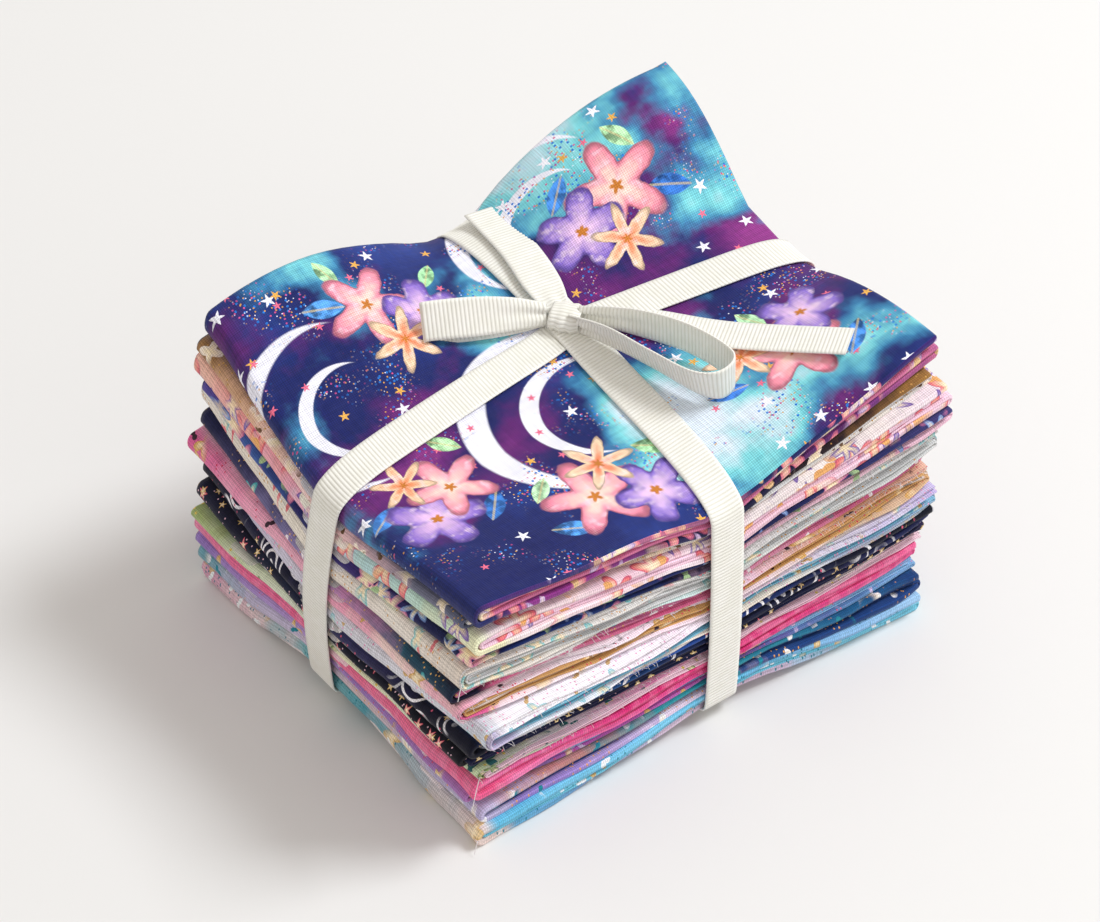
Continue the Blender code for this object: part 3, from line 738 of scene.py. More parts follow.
def makeScattered():
    # one motif in some of the cells of a loose lattice: petals round a middle, leaves, stars
    # or dots, each turned its own way. Chance is a number of each motif's own.
    inputs = {
        "Place": ("vector", None),
        "Cells": ("value", 12.0),
        "Shift": ("vector", None),
        "Petals": ("value", 5.0),
        "Depth": ("value", 0.5),
        "Point": ("value", 1.0),
        "Size": ("value", 0.3),
        "Share": ("value", 0.5),
    }
    outputs = {"Mask": "value", "Radius": "value", "Chance": "value"}
    tree, given, end = newGroup("scatteredMotif", inputs, outputs)
    place = vectors(tree, "ADD", vectors(tree, "SCALE", given["Place"], scale=given["Cells"]), given["Shift"])
    cells = put(tree, "ShaderNodeTexVoronoi", {"Vector": place, "Scale": 1.0}, voronoi_dimensions="2D")
    away = vectors(tree, "SUBTRACT", place, cells.outputs["Position"])
    x, y, _ = split(tree, away)
    chance, pick, _ = split(tree, cells.outputs["Color"])
    angle = maths(tree, "ADD", maths(tree, "ARCTAN2", y, x), maths(tree, "MULTIPLY", chance, 6.283))
    radius = vectors(tree, "LENGTH", combined(tree, x, y))
    half = maths(tree, "MULTIPLY", maths(tree, "MULTIPLY", angle, given["Petals"]), 0.5)
    notch = maths(tree, "POWER", maths(tree, "ABSOLUTE", maths(tree, "SINE", half)), given["Point"])
    reach = maths(tree, "SUBTRACT", 1.0, maths(tree, "MULTIPLY", notch, given["Depth"]))
    share = maths(tree, "DIVIDE", radius, maths(tree, "MULTIPLY", reach, given["Size"]))
    inside = fade(tree, share, 1.04, 0.92)
    mask = maths(tree, "MULTIPLY", inside, maths(tree, "LESS_THAN", pick, given["Share"]))
    return finishGroup(tree, end, Mask=mask, Radius=share, Chance=chance)


def makeBloom():
    # one flower at a chosen place on the cloth
    inputs = {
        "Place": ("vector", None),
        "Middle": ("vector", None),
        "Turn": ("value", 0.0),
        "Petals": ("value", 5.0),
        "Depth": ("value", 0.6),
        "Point": ("value", 0.6),
        "Size": ("value", 0.1),
    }
    tree, given, end = newGroup("bloom", inputs, {"Mask": "value", "Radius": "value", "Vein": "value"})
    away = vectors(tree, "SUBTRACT", given["Place"], given["Middle"])
    ripple = put(tree, "ShaderNodeTexNoise", {"Vector": given["Place"], "Scale": 30.0})
    wobble = vectors(tree, "SCALE", ripple.outputs["Color"], scale=0.012)
    x, y, _ = split(tree, vectors(tree, "ADD", away, wobble))
    angle = maths(tree, "ADD", maths(tree, "ARCTAN2", y, x), given["Turn"])
    radius = vectors(tree, "LENGTH", combined(tree, x, y))
    half = maths(tree, "MULTIPLY", maths(tree, "MULTIPLY", angle, given["Petals"]), 0.5)
    notch = maths(tree, "POWER", maths(tree, "ABSOLUTE", maths(tree, "SINE", half)), given["Point"])
    reach = maths(tree, "SUBTRACT", 1.0, maths(tree, "MULTIPLY", notch, given["Depth"]))
    share = maths(tree, "DIVIDE", radius, maths(tree, "MULTIPLY", reach, given["Size"]))
    veins = maths(tree, "ABSOLUTE", maths(tree, "SINE", maths(tree, "MULTIPLY", half, 7.0)))
    return finishGroup(tree, end, Mask=fade(tree, share, 1.03, 0.95), Radius=share, Vein=veins)


def makeLeaf():
    # one pointed leaf: the meeting of two discs, along a chosen way
    inputs = {
        "Place": ("vector", None),
        "Middle": ("vector", None),
        "Turn": ("value", 0.0),
        "Length": ("value", 0.08),
        "Width": ("value", 0.04),
    }
    tree, given, end = newGroup("leaf", inputs, {"Mask": "value", "Rib": "value", "Reach": "value"})
    away = vectors(tree, "SUBTRACT", given["Place"], given["Middle"])
    values = {"Vector": away, "Angle": given["Turn"]}
    turned = put(tree, "ShaderNodeVectorRotate", values, rotation_type="Z_AXIS")
    x, y, _ = split(tree, turned.outputs[0])
    ends = maths(tree, "DIVIDE", x, maths(tree, "MULTIPLY", given["Length"], 0.5))
    side = maths(tree, "DIVIDE", maths(tree, "ABSOLUTE", y), maths(tree, "MULTIPLY", given["Width"], 0.5))
    share = maths(tree, "ADD", maths(tree, "MULTIPLY", ends, ends), side)
    mask = fade(tree, share, 1.05, 0.9)
    rib = fade(tree, side, 0.16, 0.06)
    return finishGroup(tree, end, Mask=mask, Rib=rib, Reach=ends)


def makeCrescent():
    # a moon's sickle: one disc less another
    inputs = {
        "Place": ("vector", None),
        "Middle": ("vector", None),
        "Turn": ("value", 0.0),
        "Size": ("value", 0.1),
        "Thick": ("value", 0.3),
    }
    tree, given, end = newGroup("crescent", inputs, {"Mask": "value"})
    away = vectors(tree, "SUBTRACT", given["Place"], given["Middle"])
    values = {"Vector": away, "Angle": given["Turn"]}
    turned = put(tree, "ShaderNodeVectorRotate", values, rotation_type="Z_AXIS")
    shape = vectors(tree, "DIVIDE", turned.outputs[0], combined(tree, given["Size"], given["Size"], 1.0))
    disc = fade(tree, vectors(tree, "LENGTH", shape), 1.01, 0.98)
    shifted = vectors(tree, "SUBTRACT", shape, combined(tree, given["Thick"], 0.0, 0.0))
    bite = fade(tree, vectors(tree, "LENGTH", shifted), 0.95, 0.98)
    return finishGroup(tree, end, Mask=maths(tree, "MULTIPLY", disc, bite))


plainWeave, scattered = makePlainWeave(), makeScattered()
bloom, leaf, crescent = makeBloom(), makeLeaf(), makeCrescent()


def clothShader(material, colour, place, printed, wrinkle=0.25):
    # what every cloth shares: the reverse is paler, the weave shows in relief and in colour, as uneven yarns
    # with painted shade between the threads
    tree = material.node_tree
    weave = placed(tree, plainWeave, {"Place": place, "Threads": 100.0 / cloth["threadPitch"]})
    washed = layer(tree, 0.62, colour, linear(226, 222, 226))
    both = layer(tree, printed, washed, colour)
    # the weave's painted shade and uneven yarn colour multiplied into the cloth colour
    yarnToneAndShade = maths(tree, "POWER", weave["Tone"], 1.7)
    withToneAndShade = layer(tree, 1.0, both, combined(tree, yarnToneAndShade, yarnToneAndShade, yarnToneAndShade), "MULTIPLY")
    shader = tree.nodes["Principled BSDF"]
    tree.links.new(withToneAndShade, shader.inputs["Base Color"])
    shader.inputs["Specular IOR Level"].default_value = 0.25
    shader.inputs["Sheen Weight"].default_value = 0.12
    shader.inputs["Sheen Roughness"].default_value = 0.5
    rough = fade(tree, noise(tree, place, 40.0), 0.3, 0.7, 0.78, 0.92)
    tree.links.new(rough, shader.inputs["Roughness"])
    creases = noise(tree, place, 9.0, 3.0)
    threadHeight = maths(tree, "MULTIPLY", weave["Height"], 0.12)
    height = maths(tree, "ADD", threadHeight, maths(tree, "MULTIPLY", creases, wrinkle * 4))
    bump = put(tree, "ShaderNodeBump", {"Height": height, "Strength": 0.55, "Distance": 0.0006})
    tree.links.new(bump.outputs[0], shader.inputs["Normal"])


def motifLayers(tree, colour, place, piece, order):
    # the small scattered print of the pieces under the top one
    inks = [linear(*ink) for ink in piece["inks"]]
    kind = piece["motif"]
    if kind == "none":
        return layer(tree, fade(tree, noise(tree, place, 26.0, 3.0), 0.45, 0.6, 0.0, 0.35), colour, inks[0])
    settings = {
        "blossoms": [(8, 5, 0.6, 2.2, 0.48, 0.8), (9, 6, 0.66, 1.3, 0.48, 0.7), (15, 2, 0.8, 1.3, 0.48, 0.6)],
        "specks": [(70, 1, 0.0, 1.0, 0.16, 0.5), (12, 4, 0.6, 2.0, 0.44, 0.4), (24, 2, 0.8, 1.3, 0.4, 0.3)],
        "stars": [(20, 5, 0.62, 0.8, 0.36, 0.3), (26, 5, 0.62, 0.8, 0.3, 0.25), (70, 1, 0.0, 1.0, 0.14, 0.3)],
        "leaves": [(14, 2, 0.8, 1.2, 0.5, 0.5), (12, 3, 0.75, 1.2, 0.48, 0.45), (50, 1, 0.0, 1.0, 0.2, 0.4)],
        "arcs": [(9, 1, 0.0, 1.0, 0.5, 0.9), (30, 5, 0.62, 0.8, 0.3, 0.2), (60, 1, 0.0, 1.0, 0.16, 0.3)],
    }[kind]
    for index, (cells, petals, depth, point, size, share) in enumerate(settings):
        values = {
            "Place": place,
            "Cells": float(cells),
            "Shift": (order * 3.7 + index * 11.3, order * 5.9, 0.0),
            "Petals": float(petals),
            "Depth": depth,
            "Point": point,
            "Size": size,
            "Share": share,
        }
        found = placed(tree, scattered, values)
        mask = found["Mask"]
        if kind != "stars":
            patchy = noise(tree, vectors(tree, "ADD", place, (index * 4.1, order * 2.3, 0.0)), 6.0, 1.0)
            mask = maths(tree, "MULTIPLY", mask, fade(tree, patchy, 0.46, 0.54))
        if kind == "arcs" and index == 0:
            rings = maths(tree, "FRACT", maths(tree, "MULTIPLY", found["Radius"], 2.6))
            line = maths(tree, "MULTIPLY", fade(tree, rings, 0.0, 0.06), fade(tree, rings, 0.36, 0.3))
            mask = maths(tree, "MULTIPLY", mask, line)
        shaded = layer(tree, fade(tree, found["Radius"], 0.15, 1.0), linear(246, 226, 190), inks[index])
        if petals in (1, 2):
            shaded = inks[index]
        colour = layer(tree, mask, colour, shaded)
        if kind == "blossoms" and petals > 2:
            rim = maths(tree, "MULTIPLY", fade(tree, found["Radius"], 0.86, 0.94), mask)
            colour = layer(tree, maths(tree, "MULTIPLY", rim, 0.4), colour, linear(90, 50, 110))
    return colour


def clothMaterial(piece, order, face=False):
    material = newMaterial(piece["name"] + ("Face" if face else "Cloth"))
    tree = material.node_tree
    place = put(tree, "ShaderNodeUVMap", uv_map="flatCloth").outputs[0]
    printed = put(tree, "ShaderNodeAttribute", attribute_name="printed").outputs["Fac"]
    if face:
        colour = topPrint(tree, place)
    else:
        along, across, _ = split(tree, place)
        ragged = maths(tree, "MULTIPLY", maths(tree, "SUBTRACT", noise(tree, place, 14.0, 4.0), 0.5), 0.34)
        side = stack["length"] / 100
        depth = stack["depth"] / 100
        fromLeft = maths(tree, "DIVIDE", across, depth)
        if piece["edge"] == "cut":
            fromLeft = maths(tree, "SUBTRACT", 1.0, fromLeft)
        left = ramp(tree, maths(tree, "ADD", fromLeft, ragged), piece["leftColours"])
        upperAt = maths(tree, "SUBTRACT", 1.0, maths(tree, "DIVIDE", along, side))
        lowerAt = maths(tree, "DIVIDE", maths(tree, "SUBTRACT", along, side + 0.05), side)
        upper = ramp(tree, maths(tree, "ADD", upperAt, ragged), piece["upper"])
        lower = ramp(tree, maths(tree, "ADD", lowerAt, ragged), piece["lower"])
        front = layer(tree, maths(tree, "GREATER_THAN", along, side + 0.02), upper, lower)
        nearFold = maths(tree, "ABSOLUTE", maths(tree, "SUBTRACT", along, side + 0.02))
        colour = layer(tree, fade(tree, nearFold, 0.10, 0.05), front, left)
        colour = motifLayers(tree, colour, place, piece, order)
    clothShader(material, colour, place, printed)
    return material


# the top piece's print. Places and sizes are in units of 100 mm from the front corner;
# each bloom: x, y, size, petals, depth, point, turn, colour at the middle and at the tips
galaxy = {
    "blooms": [
        (0.40, 1.03, 0.130, 5, 0.56, 2.30, 0.3, (255, 218, 206), (238, 138, 164)),
        (0.53, 0.96, 0.111, 5, 0.44, 4.20, 1.2, (240, 200, 240), (124, 96, 196)),
        (0.44, 0.90, 0.105, 6, 0.68, 1.60, 0.9, (240, 130, 90), (250, 214, 180)),
        (0.17, 0.37, 0.123, 5, 0.44, 4.20, 0.2, (236, 196, 240), (128, 100, 200)),
        (0.27, 0.45, 0.117, 5, 0.56, 2.30, 2.0, (255, 222, 210), (240, 142, 166)),
        (0.18, 0.52, 0.086, 6, 0.68, 1.60, 0.5, (240, 140, 96), (248, 210, 176)),
        (0.52, 0.20, 0.142, 5, 0.56, 2.30, 1.0, (255, 222, 208), (238, 136, 164)),
        (0.66, 0.14, 0.111, 5, 0.44, 4.20, 0.7, (240, 204, 240), (122, 98, 198)),
        (0.60, 0.29, 0.099, 6, 0.68, 1.60, 0.1, (238, 128, 92), (250, 216, 184)),
        (1.18, 0.26, 0.135, 5, 0.56, 2.30, 2.6, (255, 218, 206), (238, 138, 162)),
        (1.28, 0.36, 0.111, 5, 0.44, 4.20, 0.4, (240, 202, 240), (126, 100, 198)),
        (1.08, 0.34, 0.099, 6, 0.68, 1.60, 1.4, (240, 134, 92), (250, 214, 182)),
        (1.14, 0.98, 0.142, 5, 0.56, 2.30, 0.9, (255, 218, 206), (238, 138, 162)),
        (1.01, 0.93, 0.117, 5, 0.44, 4.20, 0.1, (240, 202, 240), (126, 100, 198)),
        (1.10, 0.85, 0.099, 6, 0.68, 1.60, 0.6, (240, 134, 92), (250, 214, 182)),
    ],
    # each leaf: x, y, length, width, turn, colour
    "leaves": [
        (0.28, 1.06, 0.12, 0.055, 0.3, (60, 120, 190)),
        (0.34, 1.15, 0.10, 0.045, 1.3, (140, 186, 140)),
        (0.60, 1.06, 0.10, 0.045, 2.2, (128, 180, 132)),
        (0.62, 0.88, 0.12, 0.055, 2.9, (40, 92, 170)),
        (0.07, 0.44, 0.11, 0.050, 2.6, (52, 110, 186)),
        (0.30, 0.32, 0.12, 0.055, 2.3, (36, 88, 160)),
        (0.33, 0.57, 0.10, 0.045, 0.8, (146, 190, 140)),
        (0.40, 0.13, 0.12, 0.055, 0.5, (56, 116, 190)),
        (0.42, 0.29, 0.10, 0.045, 2.4, (150, 196, 150)),
        (0.74, 0.25, 0.12, 0.050, 0.7, (138, 190, 140)),
        (0.78, 0.08, 0.12, 0.055, 2.6, (40, 96, 176)),
        (1.30, 0.17, 0.12, 0.055, 2.4, (50, 110, 186)),
        (1.18, 0.43, 0.10, 0.045, 1.3, (146, 192, 146)),
        (0.98, 0.26, 0.11, 0.050, 0.3, (44, 96, 176)),
        (1.26, 0.91, 0.12, 0.055, 0.4, (36, 88, 166)),
        (1.20, 1.09, 0.11, 0.050, 1.1, (144, 190, 142)),
        (1.00, 1.05, 0.11, 0.050, 2.3, (50, 110, 186)),
    ],
    # each sickle: x, y, size, thickness share, turn
    "sickles": [
        (0.66, 0.48, 0.29, 0.24, 0.4),
        (0.70, 0.46, 0.17, 0.26, 0.5),
        (0.16, 0.80, 0.25, 0.22, 0.2),
        (0.20, 0.78, 0.14, 0.24, 0.3),
        (0.92, 1.06, 0.22, 0.24, 0.9),
        (0.95, 1.02, 0.13, 0.26, 0.8),
    ],
}


def nearer(tree, value, spot, centres):
    # raises a cloud's noise round some places: x, y, how much
    for x, y, amount in centres:
        away = vectors(tree, "DISTANCE", spot, (x, y, 0.0))
        value = maths(tree, "ADD", value, fade(tree, away, 0.5, 0.05, 0.0, amount))
    return value


def topPrint(tree, place):
    # night ground with violet and aqua clouds, then sickles, leaves, blooms, specks and stars
    flip = vectors(tree, "MULTIPLY", place, (-1.0, -1.0, 0.0))
    spot = vectors(tree, "ADD", flip, (stack["length"] / 100, stack["depth"] / 100, 0.0))
    broad = noise(tree, spot, 2.6, 4.0)
    ground = ramp(tree, broad, [(22, 26, 76), (24, 28, 84), (30, 40, 100), (42, 66, 146), (30, 36, 98)])
    violet = noise(tree, vectors(tree, "ADD", spot, (5.1, 2.3, 0.0)), 3.1, 5.0)
    # each patch: x, y, how much more of the colour is there
    patches = [(0.16, 0.42, 0.16), (1.30, 0.70, 0.14), (0.02, 0.02, -0.25), (0.45, 0.05, -0.14)]
    violet = nearer(tree, violet, spot, patches)
    colour = layer(tree, fade(tree, violet, 0.50, 0.62), ground, linear(92, 36, 108))
    colour = layer(tree, fade(tree, violet, 0.60, 0.74), colour, linear(140, 56, 132))
    glow = noise(tree, vectors(tree, "ADD", spot, (9.4, 7.7, 0.0)), 2.5, 5.0)
    glow = nearer(tree, glow, spot, [(0.92, 0.22, 0.16), (1.16, 1.16, 0.18), (0.30, 0.50, -0.10)])
    colour = layer(tree, fade(tree, glow, 0.52, 0.60), colour, linear(60, 130, 176))
    colour = layer(tree, fade(tree, glow, 0.57, 0.66), colour, linear(120, 206, 214))
    colour = layer(tree, fade(tree, glow, 0.64, 0.76), colour, linear(214, 226, 240))
    for x, y, size, thick, turn in galaxy["sickles"]:
        values = {"Place": spot, "Middle": (x, y, 0.0), "Turn": turn, "Size": size, "Thick": thick}
        colour = layer(tree, placed(tree, crescent, values)["Mask"], colour, linear(232, 232, 246))
    patch = noise(tree, spot, 5.0, 2.0)
    for cells, size, share, ink in (
        (64.0, 0.22, 0.4, (40, 116, 206)),
        (78.0, 0.18, 0.3, (214, 156, 72)),
        (72.0, 0.20, 0.25, (206, 84, 140)),
        (90.0, 0.16, 0.2, (226, 226, 244)),
    ):
        values = {"Place": spot, "Cells": cells, "Shift": (cells, 0.0, 0.0), "Petals": 1.0, "Depth": 0.0}
        values.update({"Point": 1.0, "Size": size, "Share": share})
        specks = placed(tree, scattered, values)["Mask"]
        inPatches = maths(tree, "MULTIPLY", specks, fade(tree, patch, 0.50, 0.62))
        colour = layer(tree, inPatches, colour, linear(*ink))
    for cells, size, share, ink in (
        (7.0, 0.15, 0.35, (238, 238, 250)),
        (8.0, 0.13, 0.3, (226, 170, 84)),
        (9.0, 0.12, 0.3, (230, 110, 140)),
    ):
        values = {"Place": spot, "Cells": cells, "Shift": (cells * 3, 2.0, 0.0), "Petals": 5.0, "Depth": 0.62}
        values.update({"Point": 0.8, "Size": size, "Share": share})
        colour = layer(tree, placed(tree, scattered, values)["Mask"], colour, linear(*ink))
    mottle = noise(tree, spot, 34.0, 3.0)
    for x, y, length, width, turn, ink in galaxy["leaves"]:
        values = {"Place": spot, "Middle": (x, y, 0.0), "Turn": turn, "Length": length, "Width": width}
        found = placed(tree, leaf, values)
        dark = tuple(value * 0.6 for value in ink)
        light = tuple(min(255, value * 1.25 + 20) for value in ink)
        body = layer(tree, fade(tree, mottle, 0.38, 0.62), linear(*dark), linear(*light))
        body = layer(tree, fade(tree, found["Reach"], -1.0, 1.0, 0.0, 0.5), body, linear(*light))
        body = layer(tree, maths(tree, "MULTIPLY", found["Rib"], 0.6), body, linear(206, 190, 140))
        colour = layer(tree, found["Mask"], colour, body)
    for x, y, size, petals, depth, point, turn, inner, tips in galaxy["blooms"]:
        values = {"Place": spot, "Middle": (x, y, 0.0), "Turn": turn, "Petals": float(petals)}
        values.update({"Depth": depth, "Point": point, "Size": size})
        found = placed(tree, bloom, values)
        washed = maths(tree, "MULTIPLY_ADD", mottle, 0.9, found["Radius"])
        body = layer(tree, fade(tree, washed, 0.45, 1.35), linear(*inner), linear(*tips))
        body = layer(tree, fade(tree, mottle, 0.5, 0.7, 0.0, 0.55), body, linear(252, 226, 236))
        inward = fade(tree, found["Radius"], 0.9, 0.3)
        streak = maths(tree, "MULTIPLY", fade(tree, found["Vein"], 0.4, 0.1), inward)
        darker = linear(*(value * 0.75 for value in inner))
        body = layer(tree, maths(tree, "MULTIPLY", streak, 0.45), body, darker)
        rim = maths(tree, "MULTIPLY", fade(tree, found["Radius"], 0.78, 0.96), 0.7)
        body = layer(tree, rim, body, linear(*(value * 0.55 for value in tips)))
        body = layer(tree, fade(tree, found["Radius"], 0.18, 0.10), body, linear(196, 120, 50))
        colour = layer(tree, found["Mask"], colour, body)
    return colour


def ribbonMaterial():
    # ribbed across, with a flat woven selvage at each side; the UV map is in units of 100 mm. The grooves
    # between the ribs carry painted shade
    material = newMaterial("grosgrain")
    tree = material.node_tree
    place = put(tree, "ShaderNodeUVMap", uv_map="flatCloth").outputs[0]
    along, across, _ = split(tree, place)
    turn = maths(tree, "MULTIPLY", along, 2 * math.pi * 100 / ribbon["ribPitch"])
    ribs = fade(tree, maths(tree, "COSINE", turn), 1.0, -0.2)
    middle = fade(tree, maths(tree, "ABSOLUTE", across), 0.047, 0.043)
    grooves = maths(tree, "MULTIPLY", maths(tree, "SUBTRACT", 1.0, ribs), middle)
    cloudy = noise(tree, place, 22.0, 3.0)
    colour = layer(tree, fade(tree, cloudy, 0.3, 0.7), linear(247, 246, 241), linear(241, 240, 232))
    # painted shade: the grooves between the ribs are darkened in the colour
    colour = layer(tree, maths(tree, "MULTIPLY", grooves, 0.5), colour, linear(204, 201, 188))
    threads = maths(tree, "SINE", maths(tree, "MULTIPLY", across, 2 * math.pi * 100 / 0.28))
    shader = tree.nodes["Principled BSDF"]
    tree.links.new(colour, shader.inputs["Base Color"])
    tree.links.new(fade(tree, grooves, 0.0, 1.0, 0.48, 0.7), shader.inputs["Roughness"])
    shader.inputs["Sheen Weight"].default_value = 0.15
    shader.inputs["Specular IOR Level"].default_value = 0.4
    height = maths(tree, "ADD", ribs, maths(tree, "MULTIPLY", threads, 0.12))
    bump = put(tree, "ShaderNodeBump", {"Height": height, "Strength": 0.35, "Distance": 0.0002})
    tree.links.new(bump.outputs[0], shader.inputs["Normal"])
    return material


def giveTheFaceItsPrint(mesh):
    # the outer ply of the first pass shows the big print, the folds below it the small one
    flat = np.empty(len(mesh.loops) * 2, np.float32)
    mesh.uv_layers["flatCloth"].data.foreach_get("uv", flat)
    flat = flat.reshape(-1, 4, 2).mean(axis=1)
    face = (flat[:, 0] < stack["length"] / 100 + 0.02) & (flat[:, 1] < stack["depth"] / 100 - 0.012)
    mesh.polygons.foreach_set("material_index", face.astype(np.int32))
    mesh.update()


for number, piece in enumerate(fatQuarters):
    order = len(fatQuarters) - 1 - number
    places, along, across = foldedPlaces(order, piece)
    thick = cloth["thick"] * min(1.0, max(0.7, shares[order]))
    made = clothMesh(piece["name"] + "FatQuarter", places, along, across, thick)
    made.data.materials.append(clothMaterial(piece, order))
    if piece is topPiece:
        made.data.materials.append(clothMaterial(piece, order, face=True))
        giveTheFaceItsPrint(made.data)
    nodeName = "fat_quarter_%02d" % (order + 1)
    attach(made, "root")
    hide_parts(nodeName)
    piece["made"], piece["places"], piece["threads"] = made, places, []
    print("folded", made.name, len(made.data.polygons))


threads = {
    "thickness": 0.13,
    "spacing": 1.4,
    "length": 1.5,
    "seed": 5,
    "cut": ("cream", "rose", "paleLilac", "leafCream"),
    "bend": ((0.1, -0.5, 0.25), (0.35, -1.0, -0.1)),
    "hang": ((0.02, -0.28, -0.1), (0.12, -0.3, -1.0)),
    # one longer yarn each: cloth, length
    "strays": (("cream", 5.0), ("leafCream", 9.0), ("aqua", 4.0)),
}


def makeThreadTree():
    # short bent yarns standing out along a line of points, each turned and sized by itself
    tree = bpy.data.node_groups.new("looseThreads", "GeometryNodeTree")
    inputs = [("Line", "NodeSocketGeometry"), ("Spacing", "NodeSocketFloat"), ("Length", "NodeSocketFloat")]
    inputs += [("Thickness", "NodeSocketFloat"), ("Seed", "NodeSocketInt")]
    inputs += [("Material", "NodeSocketMaterial"), ("Bend", "NodeSocketVector"), ("Tip", "NodeSocketVector")]
    for label, kind in inputs:
        tree.interface.new_socket(label, in_out="INPUT", socket_type=kind)
    tree.interface.new_socket("Threads", in_out="OUTPUT", socket_type="NodeSocketGeometry")
    given = tree.nodes.new("NodeGroupInput").outputs
    end = tree.nodes.new("NodeGroupOutput")
    line = put(tree, "GeometryNodeMeshToCurve", {"Mesh": given["Line"]}).outputs[0]
    spots = put(tree, "GeometryNodeCurveToPoints", {"Curve": line, "Length": given["Spacing"]}, mode="LENGTH")
    bend = {"Resolution": 5, "Start": (0, 0, 0), "Middle": given["Bend"], "End": given["Tip"]}
    yarn = put(tree, "GeometryNodeCurveQuadraticBezier", bend).outputs[0]
    size = put(tree, "ShaderNodeVectorMath", {0: (1, 1, 1), "Scale": given["Length"]}, operation="SCALE")
    yarn = put(tree, "GeometryNodeTransform", {"Geometry": yarn, "Scale": size.outputs[0]}).outputs[0]
    ring = put(tree, "GeometryNodeCurvePrimitiveCircle", {"Resolution": 4, "Radius": given["Thickness"]})
    values = {"Curve": yarn, "Profile Curve": ring.outputs[0], "Fill Caps": True}
    yarn = put(tree, "GeometryNodeCurveToMesh", values).outputs[0]
    turn = put(tree, "FunctionNodeRandomValue", {"Seed": given["Seed"]}, data_type="FLOAT_VECTOR")
    turn.inputs[0].default_value, turn.inputs[1].default_value = (-0.7, -0.5, -1.1), (0.5, 0.5, 1.1)
    grow = put(tree, "FunctionNodeRandomValue", {"Seed": given["Seed"]}, data_type="FLOAT")
    grow.inputs[2].default_value, grow.inputs[3].default_value = 0.35, 1.3
    values = {"Points": spots.outputs[0], "Instance": yarn}
    values.update({"Rotation": turn.outputs[0], "Scale": grow.outputs[1]})
    many = put(tree, "GeometryNodeInstanceOnPoints", values).outputs[0]
    real = put(tree, "GeometryNodeRealizeInstances", {"Geometry": many}).outputs[0]
    values = {"Geometry": real, "Material": given["Material"]}
    done = put(tree, "GeometryNodeSetMaterial", values)
    tree.links.new(done.outputs[0], end.inputs[0])
    return tree


def threadMaterial():
    material = newMaterial("looseYarn")
    tree = material.node_tree
    spot = put(tree, "ShaderNodeTexCoord").outputs["Object"]
    twist = noise(tree, spot, 900.0, 2.0)
    shader = tree.nodes["Principled BSDF"]
    colour = layer(tree, twist, linear(214, 206, 210), linear(246, 242, 244))
    tree.links.new(colour, shader.inputs["Base Color"])
    tree.links.new(fade(tree, twist, 0.3, 0.7, 0.7, 0.9), shader.inputs["Roughness"])
    return material


def addThreads(name, lines, length, spacing, thickness, seed, shape):
    points, edges = [], []
    for line in lines:
        edges += [(len(points) + index, len(points) + index + 1) for index in range(len(line) - 1)]
        points += toFrame(line).tolist()
    mesh = bpy.data.meshes.new(name)
    mesh.from_pydata(points, edges, [])
    source = bpy.data.objects.new(name + "Lines", mesh)
    bpy.context.scene.collection.objects.link(source)
    modifier = source.modifiers.new("threads", "NODES")
    modifier.node_group = threadTree
    wanted = {"Spacing": spacing * millimetre, "Length": length * millimetre}
    wanted.update({"Thickness": thickness / 2 * millimetre, "Seed": seed, "Material": yarnMaterial})
    wanted.update({"Bend": shape[0], "Tip": shape[1]})
    for item in threadTree.interface.items_tree:
        if item.in_out == "INPUT" and item.name in wanted:
            modifier[item.identifier] = wanted[item.name]
    source.update_tag()
    evaluated = source.evaluated_get(bpy.context.evaluated_depsgraph_get())
    made = bpy.data.objects.new(name, bpy.data.meshes.new_from_object(evaluated))
    bpy.data.objects.remove(source)
    bpy.context.scene.collection.objects.link(made)
    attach(made, "root")
    return made


threadTree, yarnMaterial = makeThreadTree(), threadMaterial()
for name, length in threads["strays"]:
    piece = next(piece for piece in fatQuarters if piece["name"] == name)
    # it comes out where the cloth reaches furthest towards the front corner
    spots = piece["places"].reshape(-1, 3)
    spot = spots[np.argmin(spots[:, 0] * 0.6 + spots[:, 1] * 0.8)]
    start = np.array([spot, spot]) + [[0, 0, 0], [0.4, -0.2, 0]]
    made = addThreads(name + "StrayThread", [start], length, 5.0, 0.24, threads["seed"], threads["hang"])
    piece["threads"].append(made)
for number, piece in enumerate(fatQuarters):
    if piece["name"] not in threads["cut"]:
        continue
    places = piece["places"]
    reach = slice(2, len(places) // 2)
    lines = [places[reach, 0], places[reach, -1]]
    made = addThreads(
        piece["name"] + "LooseThreads",
        lines,
        threads["length"],
        threads["spacing"],
        threads["thickness"],
        threads["seed"] + number,
        threads["bend"],
    )
    piece["threads"].append(made)
    print("frayed", made.name, len(made.data.polygons))


ribbon = {
    "width": 10.0,
    "thick": 0.42,
    "ribPitch": 1.05,
    "ribHeight": 0.26,
    "selvage": 0.7,
    "rowsPerRib": 5,
    "columns": 11,
    "knot": (80.5, 70.2),
    "gap": 0.3,
}


def longMiddle(x, above):
    # where the long wrap's middle is across the stack
    if not above:
        return np.interp(x, (0, stack["length"]), (66.0, 51.5))
    return np.interp(x, (0, ribbon["knot"][0], stack["length"]), (60.0, 69.0, 53.0))


def shortMiddle(y, above):
    if not above:
        return np.interp(y, (0, stack["depth"]), (76.0, 81.0))
    return np.interp(y, (0, ribbon["knot"][1], stack["depth"]), (76.0, 80.5, 82.5))


def smoothed(places, rounds):
    for _ in range(rounds):
        inner = (places[:-2] + 2 * places[1:-1] + places[2:]) / 4
        places = np.concatenate([places[:1], inner, places[-1:]])
    return places


